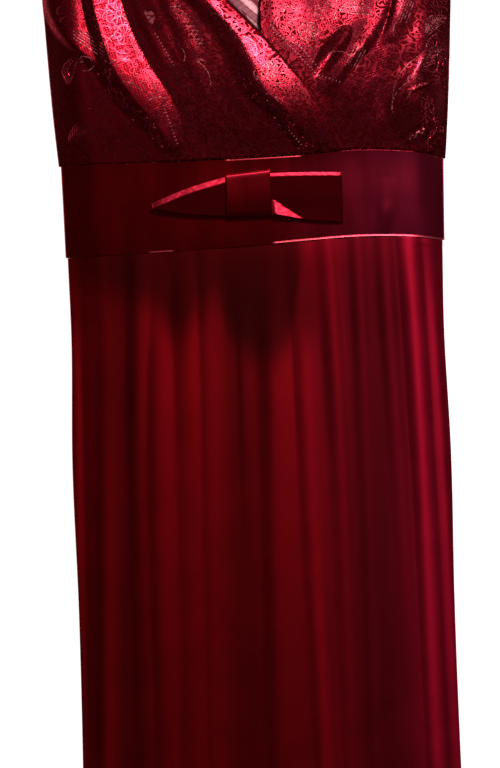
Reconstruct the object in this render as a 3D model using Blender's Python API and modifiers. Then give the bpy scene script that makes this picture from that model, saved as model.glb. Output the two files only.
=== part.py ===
"""A sleeveless lace evening gown with a satin waistband and bow, laid on its back.

Metres, +Z up. The gown lies on the plane Z = 0 with its shoulders toward +Y and its hem toward -Y.
X and Y are zero in the middle of its outline. Lengths along the gown are counted from the waist seam,
which joins the bodice to the waistband, and WAIST_Y moves them to their place.
"""

import math

import bpy
import numpy as np

# Driving sizes, along the gown from the waist seam
SHOULDER_Y = 0.375
SHOULDER_DROP = 0.015
NECK_HALF_WIDTH = 0.100
BACK_NECK_DEPTH = 0.032
BACK_NECK_ROUNDNESS = 3
HEM_Y = -1.085
WAIST_Y = -(SHOULDER_Y + HEM_Y) / 2

# Walls and clearances
BACK_WALL = 0.0012
LACE_WALL = 0.0012
LINING_WALL = 0.0010
BAND_WALL = 0.0018
SKIRT_WALL = 0.0012
BOW_WALL = 0.0012
SEAM_GAP = 0.0003
LAYER_STEP = LACE_WALL + 2 * SEAM_GAP
FRONT_EDGE_Z = BACK_WALL + SEAM_GAP
BAND_STEP = 0.0007
BAND_STEP_WIDTH = 0.006
SIDE_ROLL = 0.035
LINING_INSET = 0.018

# Outline of each part: distance along the gown, half of the laid width
BODICE_SIDES = {
    "y": (0.0, 0.055, 0.095, 0.158, 0.190),
    "half_width": (0.1940, 0.1985, 0.2010, 0.2045, 0.2065),
}
ARMHOLE = {
    "y": (0.190, 0.205, 0.235, 0.280, 0.330, 0.360),
    "half_width": (0.2065, 0.192, 0.175, 0.166, 0.167, 0.172),
}
BAND_SIDES = {"y": (-0.092, -0.045, 0.0), "half_width": (0.1900, 0.1908, 0.1918)}
SKIRT_SIDES = {
    "y": (HEM_Y, -0.850, -0.600, -0.450, -0.300, -0.170, -0.092),
    "half_width": (0.2060, 0.1955, 0.1895, 0.1885, 0.1900, 0.1870, 0.1880),
}

# The two long seams of the waistband: they rise a little past the middle
WAIST_SEAMS = {
    "x": (-0.194, -0.100, 0.000, 0.050, 0.110, 0.160, 0.194),
    "top": (-0.0018, -0.0018, 0.0000, 0.0015, 0.0045, 0.0010, -0.0060),
    "bottom": (-0.0938, -0.0920, -0.0880, -0.0850, -0.0825, -0.0845, -0.0885),
}

# How far the front layer stands off the back layer in the middle of its width: most over the bust
FRONT_LIFT = {
    "y": (HEM_Y, -0.600, -0.250, -0.150, -0.092, 0.0, 0.045, 0.085)
    + (0.140, 0.200, 0.300, 0.345, SHOULDER_Y),
    "lift": (0.0020, 0.0030, 0.0030, 0.0045, 0.0085, 0.0100, 0.0140, 0.0152)
    + (0.0125, 0.0085, 0.0052, 0.0034, 0.0),
}

# Front edge lines, from the waist seam up to the shoulder: the crossing panel lies on the other one
OVER_NECK = {
    "x": (0.095, 0.073, 0.061, 0.015, -0.020, -0.057, -0.083, -0.096, -NECK_HALF_WIDTH),
    "y": (0.000, 0.044, 0.063, 0.121, 0.159, 0.208, 0.265, 0.320, SHOULDER_Y),
}
UNDER_NECK = {
    "x": (-0.070, -0.025, 0.0090, 0.0125, 0.0190, 0.042, 0.072, 0.092, NECK_HALF_WIDTH),
    "y": (0.000, 0.060, 0.112, 0.152, 0.190, 0.240, 0.285, 0.330, SHOULDER_Y),
}
SIDE_ROWS = (0.0, 0.044, 0.075, 0.118, 0.156, 0.190, 0.235, 0.300, SHOULDER_Y - SHOULDER_DROP)

# The crossing panel's step up onto the other panel: where it starts, and its length
STEP_X = -0.130
STEP_LENGTH = 0.050
UNDER_FOLD_CLEARANCE = 0.014
FOOT_SHARE = 0.25

# Bodice folds fan out from the waist seam: foot, head, height and half of the width at the head
BODICE_FOLDS = (
    # foot_x, foot_y, head_x, head_y, height, half_width
    (-0.086, 0.008, -0.158, 0.162, 0.0068, 0.026),
    (-0.125, 0.078, -0.180, 0.150, 0.0032, 0.012),
    (-0.042, 0.055, -0.082, 0.165, 0.0012, 0.012),
    (0.064, 0.016, -0.063, 0.184, 0.0042, 0.024),
    (0.080, 0.056, 0.140, 0.155, 0.0026, 0.018),
    (0.140, 0.105, 0.171, 0.175, 0.0022, 0.013),
    (0.122, 0.018, 0.184, 0.104, 0.0022, 0.013),
)
FOLD_FOOT_WIDTH = 0.55
FOLD_RISE_START = -0.12
FOLD_RISE_LENGTH = 0.45
FOLD_END = 1.75
FOLD_END_LENGTH = 0.60
FOLD_WIDEST = 1.20

# Skirt folds run down from the waistband: their line at the band, part-way and at the hem
SKIRT_FOLDS = (
    # band_x, middle_x, hem_x, height, half_width, start_y
    (-0.178, -0.184, -0.198, 0.0010, 0.011, -0.100),
    (-0.152, -0.160, -0.178, 0.0010, 0.016, -0.190),
    (-0.119, -0.124, -0.133, 0.0014, 0.017, -0.110),
    (-0.099, -0.104, -0.112, 0.0017, 0.018, -0.160),
    (-0.070, -0.075, -0.086, 0.0016, 0.019, -0.120),
    (-0.051, -0.054, -0.062, 0.0013, 0.017, -0.110),
    (0.015, 0.011, 0.012, 0.0016, 0.020, -0.160),
    (0.042, 0.050, 0.062, 0.0012, 0.015, -0.100),
    (0.074, 0.080, 0.092, 0.0016, 0.012, -0.100),
    (0.103, 0.105, 0.118, 0.0010, 0.011, -0.100),
    (0.130, 0.141, 0.156, 0.0012, 0.012, -0.100),
    (0.155, 0.163, 0.184, 0.0023, 0.015, -0.100),
    (0.176, 0.184, 0.199, 0.0012, 0.009, -0.100),
)
SKIRT_MIDDLE_Y = -0.400
FOLD_START_LENGTH = 0.090

# The bow: each loop is a strip folded back on itself, and the knot wraps both
KNOT_LEFT_X = -0.0270
KNOT_RIGHT_X = 0.0175
KNOT_TOP_Y = -0.0160
KNOT_BOTTOM_Y = -0.0580
KNOT_RISE = 0.0090
KNOT_SECTION = {
    "along": (0.00, 0.12, 0.24, 0.50, 0.76, 0.88, 1.00),
    "share": (0.00, -0.01, 0.08, 0.50, 0.92, 1.01, 1.00),
    "height": (0.00, 0.50, 0.95, 1.00, 0.95, 0.50, 0.00),
}
LOOP_LIFT = 0.0012
LOOP_PUFF = 0.0060
RIGHT_LOOP = {
    "reach": (0.0, 0.5, 1.0),
    "x": (0.0175, 0.0530, 0.0880),
    "top": (-0.0185, -0.0190, -0.0220),
    "bottom": (-0.0555, -0.0640, -0.0680),
}
LEFT_LOOP = {
    "reach": (0.0, 0.5, 1.0),
    "x": (-0.0270, -0.0640, -0.1010),
    "top": (-0.0190, -0.0290, -0.0430),
    "bottom": (-0.0555, -0.0550, -0.0480),
}
LOOP_SECTION = {
    "along": (0.00, 0.20, 0.40, 0.50, 0.60, 0.80, 1.00),
    "reach": (-0.10, 0.45, 0.93, 1.00, 0.94, 0.50, -0.10),
    "height": (0.00, 0.00, 0.04, 0.38, 0.80, 1.00, 0.62),
}


def smooth_curve(knots, values, at):
    """A curve through a few knots, with no overshoot at its ends."""
    knots = np.asarray(knots, dtype=float)
    values = np.asarray(values, dtype=float)
    slopes = np.gradient(values, knots)
    place = float(min(max(at, knots[0]), knots[-1]))
    span = min(int(np.searchsorted(knots, place, side="right")) - 1, len(knots) - 2)
    width = knots[span + 1] - knots[span]
    part = (place - knots[span]) / width
    return float(
        (1 + 2 * part) * (1 - part) ** 2 * values[span]
        + part * (1 - part) ** 2 * width * slopes[span]
        + part * part * (3 - 2 * part) * values[span + 1]
        + part * part * (part - 1) * width * slopes[span + 1]
    )


def ease(part):
    """Rises from 0 to 1 with no kink at either end."""
    part = min(max(part, 0.0), 1.0)
    return part * part * (3 - 2 * part)


def mix(start, end, part):
    return start + (end - start) * part


def half_width(y):
    """Half of the laid width of the bodice, armhole, waistband or skirt at a distance along the gown."""
    for sides in (ARMHOLE, BODICE_SIDES):
        if y >= sides["y"][0]:
            return smooth_curve(sides["y"], sides["half_width"], y)
    sides = BAND_SIDES if y >= BAND_SIDES["y"][0] else SKIRT_SIDES
    return smooth_curve(sides["y"], sides["half_width"], y)


def front_base(x, y):
    """Height of the front layer's inner side: on the back layer at the sides, and raised between them."""
    inward = max(half_width(y) - abs(x), 0.0)
    lift = smooth_curve(FRONT_LIFT["y"], FRONT_LIFT["lift"], y)
    return FRONT_EDGE_Z + lift * math.sin(0.5 * math.pi * min(inward / SIDE_ROLL, 1.0))


def ridge(distance, width):
    """A soft round ridge, 1 on its line and 0 at its width."""
    return 0.5 + 0.5 * math.cos(math.pi * min(abs(distance) / width, 1.0))


def bodice_folds(x, y):
    """Height that the fanned folds add to a front bodice panel."""
    height = 0.0
    for foot_x, foot_y, head_x, head_y, rise, wide in BODICE_FOLDS:
        part = (y - foot_y) / (head_y - foot_y)
        line_x = mix(foot_x, head_x, part)
        width = wide * mix(FOLD_FOOT_WIDTH, 1.0, min(max(part, 0.0), FOLD_WIDEST))
        rising = ease((part - FOLD_RISE_START) / FOLD_RISE_LENGTH)
        fade = rising * ease((FOLD_END - part) / FOLD_END_LENGTH)
        height = max(height, rise * fade * ridge(x - line_x, width))
    return height


def skirt_folds(x, y):
    """Height that the long folds add to the front skirt panel."""
    height = 0.0
    for band_x, middle_x, hem_x, rise, wide, start_y in SKIRT_FOLDS:
        line_x = smooth_curve((HEM_Y, SKIRT_MIDDLE_Y, start_y), (hem_x, middle_x, band_x), y)
        fade = ease((start_y + FOLD_START_LENGTH / 2 - y) / FOLD_START_LENGTH)
        height = max(height, rise * fade * ridge(x - line_x, wide))
    return height


def seam_y(x, seam):
    return smooth_curve(WAIST_SEAMS["x"], WAIST_SEAMS[seam], x)


def fabric(name, color, roughness):
    """A cloth material."""
    material = bpy.data.materials.new(name)
    material.use_nodes = True
    shader = material.node_tree.nodes["Principled BSDF"]
    shader.inputs["Base Color"].default_value = (*color, 1.0)
    shader.inputs["Roughness"].default_value = roughness
    shader.inputs["Metallic"].default_value = 0.0
    return material


def sheet(collection, name, columns, rows, place, wall, offset, material):
    """One piece of cloth: a grid that place() shapes, given its wall by Solidify."""
    bpy.ops.mesh.primitive_grid_add(x_subdivisions=columns, y_subdivisions=rows, size=1.0)
    piece = bpy.context.object
    piece.name = name
    piece.data.name = name
    for vertex in piece.data.vertices:
        x, y, z = place(vertex.co.x + 0.5, vertex.co.y + 0.5)
        vertex.co = (x, y + WAIST_Y, z)
    solidify = piece.modifiers.new("wall", "SOLIDIFY")
    solidify.thickness = wall
    solidify.offset = offset
    piece.data.materials.append(material)
    piece.data.shade_smooth()
    for owner in list(piece.users_collection):
        owner.objects.unlink(piece)
    collection.objects.link(piece)
    return piece


def back_bodice_place(inset, z):
    """Lays a back bodice piece flat: waist seam, sides, armholes, shoulders and a shallow neck."""

    def place(across, along):
        side = 2 * across - 1
        neck_share = NECK_HALF_WIDTH / ARMHOLE["half_width"][-1]
        if abs(side) > neck_share:
            top = SHOULDER_Y - SHOULDER_DROP * (abs(side) - neck_share) / (1 - neck_share)
        else:
            top = SHOULDER_Y - BACK_NECK_DEPTH * (1 - (abs(side) / neck_share) ** BACK_NECK_ROUNDNESS)
        foot = seam_y(side * BODICE_SIDES["half_width"][0], "top") + SEAM_GAP / 2
        underarm = ARMHOLE["y"][0]
        if along < 0.5:
            y = mix(foot, underarm, 2 * along)
        else:
            y = mix(underarm, top - inset, 2 * along - 1)
        x = side * (half_width(max(y, 0.0)) - inset)
        return x, y, z

    return place


def front_bodice_place(neck, sign, is_over):
    """Rules a front bodice panel between its side edge and its neck edge."""
    rows = np.linspace(0.0, 1.0, len(SIDE_ROWS))

    def place(across, along):
        share = across if sign < 0 else 1 - across
        side_y = smooth_curve(rows, SIDE_ROWS, along)
        side_x = sign * half_width(side_y)
        neck_x = smooth_curve(rows, neck["x"], along)
        neck_y = smooth_curve(rows, neck["y"], along)
        x = mix(side_x, neck_x, share)
        foot = (seam_y(x, "top") + SEAM_GAP / 2) * (1 - ease(along / FOOT_SHARE))
        y = mix(side_y, neck_y, share) + foot
        z = front_base(x, y)
        if is_over:
            z += LAYER_STEP * ease((x - STEP_X) / STEP_LENGTH) + bodice_folds(x, y)
        else:
            neck_line_x = smooth_curve(OVER_NECK["y"], OVER_NECK["x"], y)
            z += bodice_folds(x, y) * ease((x - neck_line_x) / UNDER_FOLD_CLEARANCE - 1)
        return x, y, z

    return place


def band_place(is_front):
    """Runs the waistband between its two long seams."""

    def place(across, along):
        side = 2 * across - 1
        bottom = seam_y(side * BAND_SIDES["half_width"][0], "bottom") + SEAM_GAP / 2
        top = seam_y(side * BAND_SIDES["half_width"][-1], "top") - SEAM_GAP / 2
        y = mix(bottom, top, along)
        x = side * smooth_curve(BAND_SIDES["y"], BAND_SIDES["half_width"], y)
        if is_front:
            return x, y, front_base(x, y) + BAND_STEP * ease((half_width(y) - abs(x)) / BAND_STEP_WIDTH)
        return x, y, 0.0

    return place


def skirt_place(is_front):
    """Hangs a skirt panel from the waistband's lower seam to the hem."""

    def place(across, along):
        side = 2 * across - 1
        top = seam_y(side * SKIRT_SIDES["half_width"][-1], "bottom") - SEAM_GAP / 2
        y = mix(HEM_Y, top, along)
        x = side * smooth_curve(SKIRT_SIDES["y"], SKIRT_SIDES["half_width"], y)
        if is_front:
            return x, y, front_base(x, y) + skirt_folds(x, y)
        return x, y, 0.0

    return place


def band_top(x, y):
    """Height of the front waistband's outer side."""
    return front_base(x, y) + BAND_STEP + BAND_WALL


def loop_place(loop):
    """Folds a strip into a bow loop lying on the waistband."""

    def place(across, along):
        reach = smooth_curve(LOOP_SECTION["along"], LOOP_SECTION["reach"], along)
        height = smooth_curve(LOOP_SECTION["along"], LOOP_SECTION["height"], along)
        root_x, tip_x = loop["x"][0], loop["x"][-1]
        x = mix(root_x, tip_x, reach)
        top = smooth_curve(loop["reach"], loop["top"], reach)
        bottom = smooth_curve(loop["reach"], loop["bottom"], reach)
        y = mix(bottom, top, across if root_x > 0 else 1 - across)
        return x, y, band_top(x, y) + LOOP_LIFT + LOOP_PUFF * height

    return place


def knot_place(across, along):
    """Wraps the knot strip over the roots of the loops and down to the waistband."""
    share = smooth_curve(KNOT_SECTION["along"], KNOT_SECTION["share"], along)
    height = smooth_curve(KNOT_SECTION["along"], KNOT_SECTION["height"], along)
    x = mix(KNOT_LEFT_X, KNOT_RIGHT_X, across)
    y = mix(KNOT_BOTTOM_Y, KNOT_TOP_Y, share)
    return x, y, band_top(x, y) + 2 * SEAM_GAP + KNOT_RISE * height


for old in list(bpy.data.objects):
    bpy.data.objects.remove(old, do_unlink=True)
gown = bpy.data.collections.new("lace_evening_gown")
bpy.context.scene.collection.children.link(gown)

lace_red = fabric("lace_red", (0.30, 0.010, 0.045), 0.45)
lining_rose = fabric("lining_rose", (0.42, 0.16, 0.18), 0.50)
satin_red = fabric("satin_red", (0.22, 0.006, 0.020), 0.28)
jersey_red = fabric("jersey_red", (0.26, 0.004, 0.012), 0.48)

# Back layer, flat on the surface
sheet(gown, "bodice_back", 28, 16, back_bodice_place(0.0, 0.0), BACK_WALL, 1.0, lace_red)
sheet(gown, "waistband_back", 28, 2, band_place(False), BACK_WALL, 1.0, satin_red)
sheet(gown, "skirt_back", 28, 9, skirt_place(False), BACK_WALL, 1.0, jersey_red)
lining_place = back_bodice_place(LINING_INSET, FRONT_EDGE_Z)
sheet(gown, "bodice_back_lining", 12, 12, lining_place, LINING_WALL, 1.0, lining_rose)

# Front layer, on the back layer
sheet(gown, "bodice_front_under", 22, 16, front_bodice_place(UNDER_NECK, 1, False), LACE_WALL, 1.0, lace_red)
sheet(gown, "bodice_front_over", 26, 16, front_bodice_place(OVER_NECK, -1, True), LACE_WALL, 1.0, lace_red)
sheet(gown, "waistband_front", 42, 3, band_place(True), BAND_WALL, 1.0, satin_red)
sheet(gown, "skirt_front", 60, 9, skirt_place(True), SKIRT_WALL, 1.0, jersey_red)

# Bow, on the waistband
sheet(gown, "bow_loop_right", 5, 14, loop_place(RIGHT_LOOP), BOW_WALL, 0.0, satin_red)
sheet(gown, "bow_loop_left", 5, 14, loop_place(LEFT_LOOP), BOW_WALL, 0.0, satin_red)
sheet(gown, "bow_knot", 4, 10, knot_place, BOW_WALL, 1.0, satin_red)
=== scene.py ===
# %% [markdown]
# # A lace evening gown, laid on its back
#
# A long gown lies flat on a pale surface and is seen from straight above. Its bodice is corded lace,
# crossed in front. A satin band with a flat bow joins it to a long skirt of smooth, gathered jersey.
#
# Cloth can be made in Blender by simulation, by sculpting, or from a grid that functions push into shape.
# The grid is used here: a laid gown has a few large folds in known places, and a function puts each one
# where it belongs.

# %% Load the construction model
import math

import bmesh
import bpy
import numpy as np
from mathutils import Matrix, Vector


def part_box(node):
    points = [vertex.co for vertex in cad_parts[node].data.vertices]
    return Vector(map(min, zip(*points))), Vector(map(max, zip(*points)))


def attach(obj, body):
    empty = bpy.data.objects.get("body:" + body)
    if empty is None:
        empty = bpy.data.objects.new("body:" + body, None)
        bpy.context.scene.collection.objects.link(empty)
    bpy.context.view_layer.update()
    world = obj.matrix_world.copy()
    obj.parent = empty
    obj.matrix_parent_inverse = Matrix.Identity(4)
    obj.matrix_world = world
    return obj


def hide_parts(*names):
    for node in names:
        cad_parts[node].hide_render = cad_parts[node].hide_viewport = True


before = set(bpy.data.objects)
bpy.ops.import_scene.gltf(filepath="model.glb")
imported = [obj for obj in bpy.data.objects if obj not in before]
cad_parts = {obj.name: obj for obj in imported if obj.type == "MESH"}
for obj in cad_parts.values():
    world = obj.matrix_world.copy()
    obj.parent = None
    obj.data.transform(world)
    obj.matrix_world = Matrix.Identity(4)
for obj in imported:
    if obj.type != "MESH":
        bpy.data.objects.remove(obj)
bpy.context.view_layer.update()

# %% [markdown]
# ## Sizes
#
# A dressmaker measures a gown from its waist seam, where the lace meets the satin band. So does this
# script, in metres: y runs up from that seam and x runs out from the middle. The construction model says
# where the seam lies.

# %% Sizes of the gown
MM = 0.001
SHOULDER = 0.375
SHOULDER_DROP = 0.015
SHOULDER_HALF_WIDTH = 0.172
NECK_HALF_WIDTH = 0.100
BACK_NECK_DEPTH = 0.032
HEM = -1.085
WALL = 0.0010
SEAM_GAP = 0.0003
FRONT_EDGE = 0.0015
SIDE_ROLL = 0.035
PANEL_STEP = 0.0018
BAND_STEP = 0.0007
EDGE_ROLL = 0.0006
EDGE_WIDTH = 0.0022
NECK_ROLL = 0.0007
NECK_ROLL_WIDTH = 0.0045
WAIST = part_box("skirt_back")[0].y - HEM

BODICE_SIDES = {
    "y": (0.0, 0.055, 0.095, 0.158, 0.190),
    "half_width": (0.1940, 0.1985, 0.2010, 0.2045, 0.2065),
}
ARMHOLE = {
    "y": (0.190, 0.205, 0.235, 0.280, 0.330, 0.360),
    "half_width": (0.2065, 0.192, 0.175, 0.166, 0.167, SHOULDER_HALF_WIDTH),
}
BAND_SIDES = {
    "y": (-0.092, -0.045, 0.0),
    "half_width": (0.1900, 0.1908, 0.1918),
}
SKIRT_SIDES = {
    "y": (HEM, -0.850, -0.600, -0.450, -0.300, -0.170, -0.092),
    "half_width": (0.2060, 0.1955, 0.1895, 0.1885, 0.1900, 0.1870, 0.1880),
}
WAIST_SEAMS = {
    "x": (-0.194, -0.100, 0.000, 0.050, 0.110, 0.160, 0.194),
    "top": (-0.0018, -0.0018, 0.0000, 0.0015, 0.0045, 0.0010, -0.0060),
    "bottom": (-0.0938, -0.0920, -0.0880, -0.0850, -0.0825, -0.0845, -0.0885),
}
SIDE_ROWS = (0.0, 0.044, 0.075, 0.118, 0.156, 0.190, 0.235, 0.300, SHOULDER - SHOULDER_DROP)
OVER_NECK = {
    "x": (0.095, 0.073, 0.061, 0.015, -0.020, -0.057, -0.083, -0.096, -NECK_HALF_WIDTH),
    "y": (0.000, 0.044, 0.063, 0.121, 0.159, 0.208, 0.265, 0.320, SHOULDER),
}
UNDER_NECK = {
    "x": (-0.070, -0.025, 0.0090, 0.0125, 0.0190, 0.042, 0.072, 0.092, NECK_HALF_WIDTH),
    "y": (0.000, 0.060, 0.112, 0.152, 0.190, 0.240, 0.285, 0.330, SHOULDER),
}
print("waist seam at y =", round(WAIST, 4))

# %% [markdown]
# ## The body of the gown
#
# A gown on a table is two layers with air between them. The front layer stands highest over the bust and
# above the bow, and falls to the table at both sides. A lattice or a sculpt could lift it. Four columns of
# heights are easier to read, and one smooth curve runs through each.

# %% How far the front layer is lifted, in millimetres
LIFT_COLUMNS = {"left": -0.150, "inner": -0.055, "middle": 0.025, "right": 0.150}
FRONT_LIFT = {
    "y": (
        HEM, -0.600, -0.250, -0.170, -0.130, -0.092, -0.045, 0.0, 0.030, 0.060,
        0.085, 0.105, 0.130, 0.160, 0.200, 0.250, 0.300, 0.345, SHOULDER,
    ),
    "left": (
        2.0, 3.0, 3.0, 3.5, 5.0, 7.5, 8.5, 9.5, 11.6, 12.9,
        13.3, 12.6, 11.4, 9.8, 8.2, 6.5, 5.2, 3.4, 0.0,
    ),
    "inner": (
        2.0, 3.0, 3.0, 3.2, 5.5, 8.5, 9.5, 10.2, 12.2, 14.2,
        15.3, 15.4, 14.9, 13.6, 10.5, 7.5, 5.4, 3.4, 0.0,
    ),
    "middle": (
        2.0, 3.0, 3.0, 3.0, 5.5, 9.0, 10.0, 10.8, 14.8, 17.0,
        16.5, 15.3, 13.5, 10.9, 8.5, 6.5, 5.2, 3.4, 0.0,
    ),
    "right": (
        2.0, 3.0, 3.0, 4.0, 6.0, 8.0, 8.5, 9.0, 11.5, 13.0,
        13.6, 13.6, 12.0, 9.6, 7.2, 5.8, 5.2, 3.4, 0.0,
    ),
}
print("highest lift", max(max(FRONT_LIFT[name]) for name in LIFT_COLUMNS), "mm")

# %% Smooth curves
def curve_through(knots, values, at):
    """A smooth curve through a few knots, read at one place or at many. One value may serve all knots."""
    knots = np.asarray(knots, float)
    values = np.broadcast_to(np.asarray(values, float), knots.shape)
    slopes = np.gradient(values, knots)
    place = np.clip(at, knots[0], knots[-1])
    span = np.clip(np.searchsorted(knots, place, side="right") - 1, 0, len(knots) - 2)
    width = knots[span + 1] - knots[span]
    part = (place - knots[span]) / width
    return (
        (1 + 2 * part) * (1 - part) ** 2 * values[span]
        + part * (1 - part) ** 2 * width * slopes[span]
        + part * part * (3 - 2 * part) * values[span + 1]
        + part * part * (part - 1) * width * slopes[span + 1]
    )


def ease(part):
    part = np.clip(part, 0.0, 1.0)
    return part * part * (3 - 2 * part)


def mix(start, end, part):
    return start + (end - start) * part


print("halfway up a smooth step:", ease(0.5))

# %% The outline and the lift
def half_width(y):
    """Half of the laid width at a distance along the gown."""
    y = np.asarray(y)
    skirt = curve_through(SKIRT_SIDES["y"], SKIRT_SIDES["half_width"], y)
    band = curve_through(BAND_SIDES["y"], BAND_SIDES["half_width"], y)
    bodice = curve_through(BODICE_SIDES["y"], BODICE_SIDES["half_width"], y)
    armhole = curve_through(ARMHOLE["y"], ARMHOLE["half_width"], y)
    lower = np.where(y < BAND_SIDES["y"][0], skirt, band)
    upper = np.where(y < ARMHOLE["y"][0], bodice, armhole)
    return np.where(y < 0.0, lower, upper)


def front_base(x, y):
    """Height of the front layer's inner side, before its folds."""
    lift, last = 0.0, None
    for name, column in LIFT_COLUMNS.items():
        here = curve_through(FRONT_LIFT["y"], FRONT_LIFT[name], y) * MM
        lift = here if last is None else mix(lift, here, ease((x - last) / (column - last)))
        last = column
    inward = np.maximum(half_width(y) - np.abs(x), 0.0)
    return FRONT_EDGE + lift * np.sin(0.5 * np.pi * np.clip(inward / SIDE_ROLL, 0.0, 1.0))


def seam(x, name):
    """How far the top or the bottom seam of the band lies from a straight waist."""
    return curve_through(WAIST_SEAMS["x"], WAIST_SEAMS[name], x)


print("height over the middle of the bust:", round(float(front_base(0.025, 0.085)), 4))

# %% Small unevenness
WAVE_TABLE = 64
WAVE_ORIGIN = 200.0


def unevenness(x, y, size_x, size_y, seed):
    """Smooth random waves from -1 to 1, the same on every run."""
    table = np.random.default_rng(seed).uniform(-1, 1, (WAVE_TABLE, WAVE_TABLE))
    u, v = x / size_x + WAVE_ORIGIN, y / size_y + WAVE_ORIGIN
    column, row = np.floor(u).astype(int), np.floor(v).astype(int)
    left, right = column % WAVE_TABLE, (column + 1) % WAVE_TABLE
    lower, upper = row % WAVE_TABLE, (row + 1) % WAVE_TABLE
    across, along = ease(u - column), ease(v - row)
    near = mix(table[lower, left], table[lower, right], across)
    far = mix(table[upper, left], table[upper, right], across)
    return mix(near, far, along)


def ripple(kind, x, y, seed):
    return kind["rise"] * unevenness(x, y, kind["across"], kind["along"], seed)


print("one sample of the waves:", round(float(unevenness(0.01, 0.02, 0.011, 0.03, 3)), 3))

# %% [markdown]
# ## Folds
#
# Laid cloth folds where it is drawn toward a seam: here toward the waist, under each side of the crossed
# front. A fold could be sculpted, or drawn as a curve and lofted. Here it is a crest line with a rise and a
# reach to each side, in millimetres, with a column for each station along the gown, or one number for all
# of them. One side may end in a sharp crease, as where cloth tucks under itself. Where two folds meet, the
# higher one shows and the other fades into its foot.

# %% Fold and hollow shapes
FOLD_BLEND = 3.0
CREASE_POWER = 1.15
HOLLOW_SOFTNESS = 0.01


def soft_crest(part):
    """1 on a crest and 0 at its foot, level at both."""
    return 0.5 + 0.5 * np.cos(np.pi * part)


def fold_height(folds, x, y):
    total = np.zeros(np.broadcast(x, y).shape)
    for fold in folds:
        stations = np.array(fold["y"]) * MM
        crest = curve_through(stations, fold["x"], y) * MM
        rise = np.maximum(curve_through(stations, fold["rise"], y), 0.0)
        left = curve_through(stations, fold["left"], y)
        right = curve_through(stations, fold["right"], y)
        away = x - crest
        part = np.clip(np.abs(away) / (np.where(away < 0, left, right) * MM), 0.0, 1.0)
        creased_side = {"left": away < 0, "right": away > 0, None: False}[fold.get("crease")]
        slope = np.where(creased_side, 1 - part**CREASE_POWER, soft_crest(part))
        total += (rise * slope) ** FOLD_BLEND
    return total ** (1 / FOLD_BLEND) * MM


def hollow_depth(hollows, x, y):
    total = 0.0
    for middle_x, middle_y, reach_across, reach_along, turn, depth in hollows:
        spin = math.radians(turn)
        right, up = x / MM - middle_x, y / MM - middle_y
        across = right * math.cos(spin) + up * math.sin(spin)
        along = up * math.cos(spin) - right * math.sin(spin)
        away = np.sqrt((across / reach_across) ** 2 + (along / reach_along) ** 2 + HOLLOW_SOFTNESS)
        total = total + depth * MM * np.clip(1 - away, 0.0, 1.0)
    return total


print("a crest and its foot:", soft_crest(0.0), round(float(soft_crest(1.0)), 3))

# %% Folds of the over panel, on the wearer's right side
OVER_FOLDS = [
    {
        "y": (-5, 12, 31, 58, 91, 125, 162, 240, 330),
        "x": (-80, -81, -92, -113, -134, -146, -154, -157, -155),
        "rise": (0, 2.6, 4.6, 6.6, 7.2, 6.8, 6.3, 3.0, 0),
        "left": (12, 14, 18, 24, 22, 15, 13, 16, 20),
        "right": (8, 13, 23, 36, 37, 32, 28, 27, 25),
        "crease": "right",
    },
    {
        "y": (85, 98, 127, 150, 200),
        "x": (-79, -84, -98, -108, -118),
        "rise": (0, 0.25, 0.30, 0.25, 0),
        "left": 8,
        "right": 8,
    },
    {
        "y": (50, 67, 93, 126, 154, 220, 300),
        "x": (-40, -44, -56, -67, -78, -95, -105),
        "rise": (0, 0.4, 0.5, 0.6, 0.7, 0.6, 0),
        "left": (12, 12, 12, 12, 12, 14, 14),
        "right": (8, 9, 11, 12, 12, 14, 14),
        "crease": "right",
    },
    {
        "y": (0, 20, 44, 63, 91, 125, 159, 208, 265, 330),
        "x": (66, 54, 36, 17, 5, -13, -42, -80, -106, -118),
        "rise": (0, 2.5, 4.3, 5.0, 4.2, 3.2, 2.7, 2.6, 2.0, 0),
        "left": (20, 20, 24, 27, 28, 26, 24, 22, 22, 20),
        "right": (29, 31, 37, 42, 35, 27, 23, 25, 24, 20),
        "crease": "right",
    },
    {
        "y": (0, 13, 35, 60, 85),
        "x": (54, 47, 33, 14, 0),
        "rise": (0, 1.9, 2.8, 2.3, 0),
        "left": 8,
        "right": 8,
    },
    {
        "y": (80, 96, 118, 141, 180, 260),
        "x": (-136, -151, -174, -190, -198, -198),
        "rise": (0, 2.5, 3.7, 4.2, 3.8, 0),
        "left": 12,
        "right": (20, 24, 29, 33, 34, 30),
        "crease": "right",
    },
]
print("folds of the over panel:", len(OVER_FOLDS))

# %% Folds and hollows of the under panel
UNDER_FOLDS = [
    {
        "y": (58, 72, 84, 108, 138, 200, 300),
        "x": (76, 83, 91, 113, 131, 141, 141),
        "rise": (0, 1.7, 2.0, 2.0, 1.8, 1.2, 0),
        "left": (16, 18, 20, 22, 24, 26, 26),
        "right": (13, 13, 13, 14, 14, 14, 14),
        "crease": "left",
    },
    {
        "y": (108, 120, 134, 158, 200, 260),
        "x": (136, 141, 146, 152, 158, 158),
        "rise": (0, 1.4, 2.4, 2.7, 2.0, 0),
        "left": 9,
        "right": (22, 24, 26, 28, 28, 26),
    },
    {
        "y": (20, 41, 58, 75, 101, 122),
        "x": (124, 137, 149, 162, 182, 192),
        "rise": (0, 0.7, 1.0, 1.1, 0.8, 0),
        "left": (9, 10, 11, 11, 10, 9),
        "right": (20, 22, 24, 22, 14, 12),
    },
    {
        "y": (52, 61, 76, 85),
        "x": (145, 162, 195, 205),
        "rise": (0, 1.1, 1.2, 0),
        "left": 8,
        "right": 8,
    },
    {
        "y": (6, 13, 27, 36),
        "x": (146, 158, 181, 190),
        "rise": (0, 0.8, 0.9, 0),
        "left": 7,
        "right": 7,
    },
]
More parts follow.
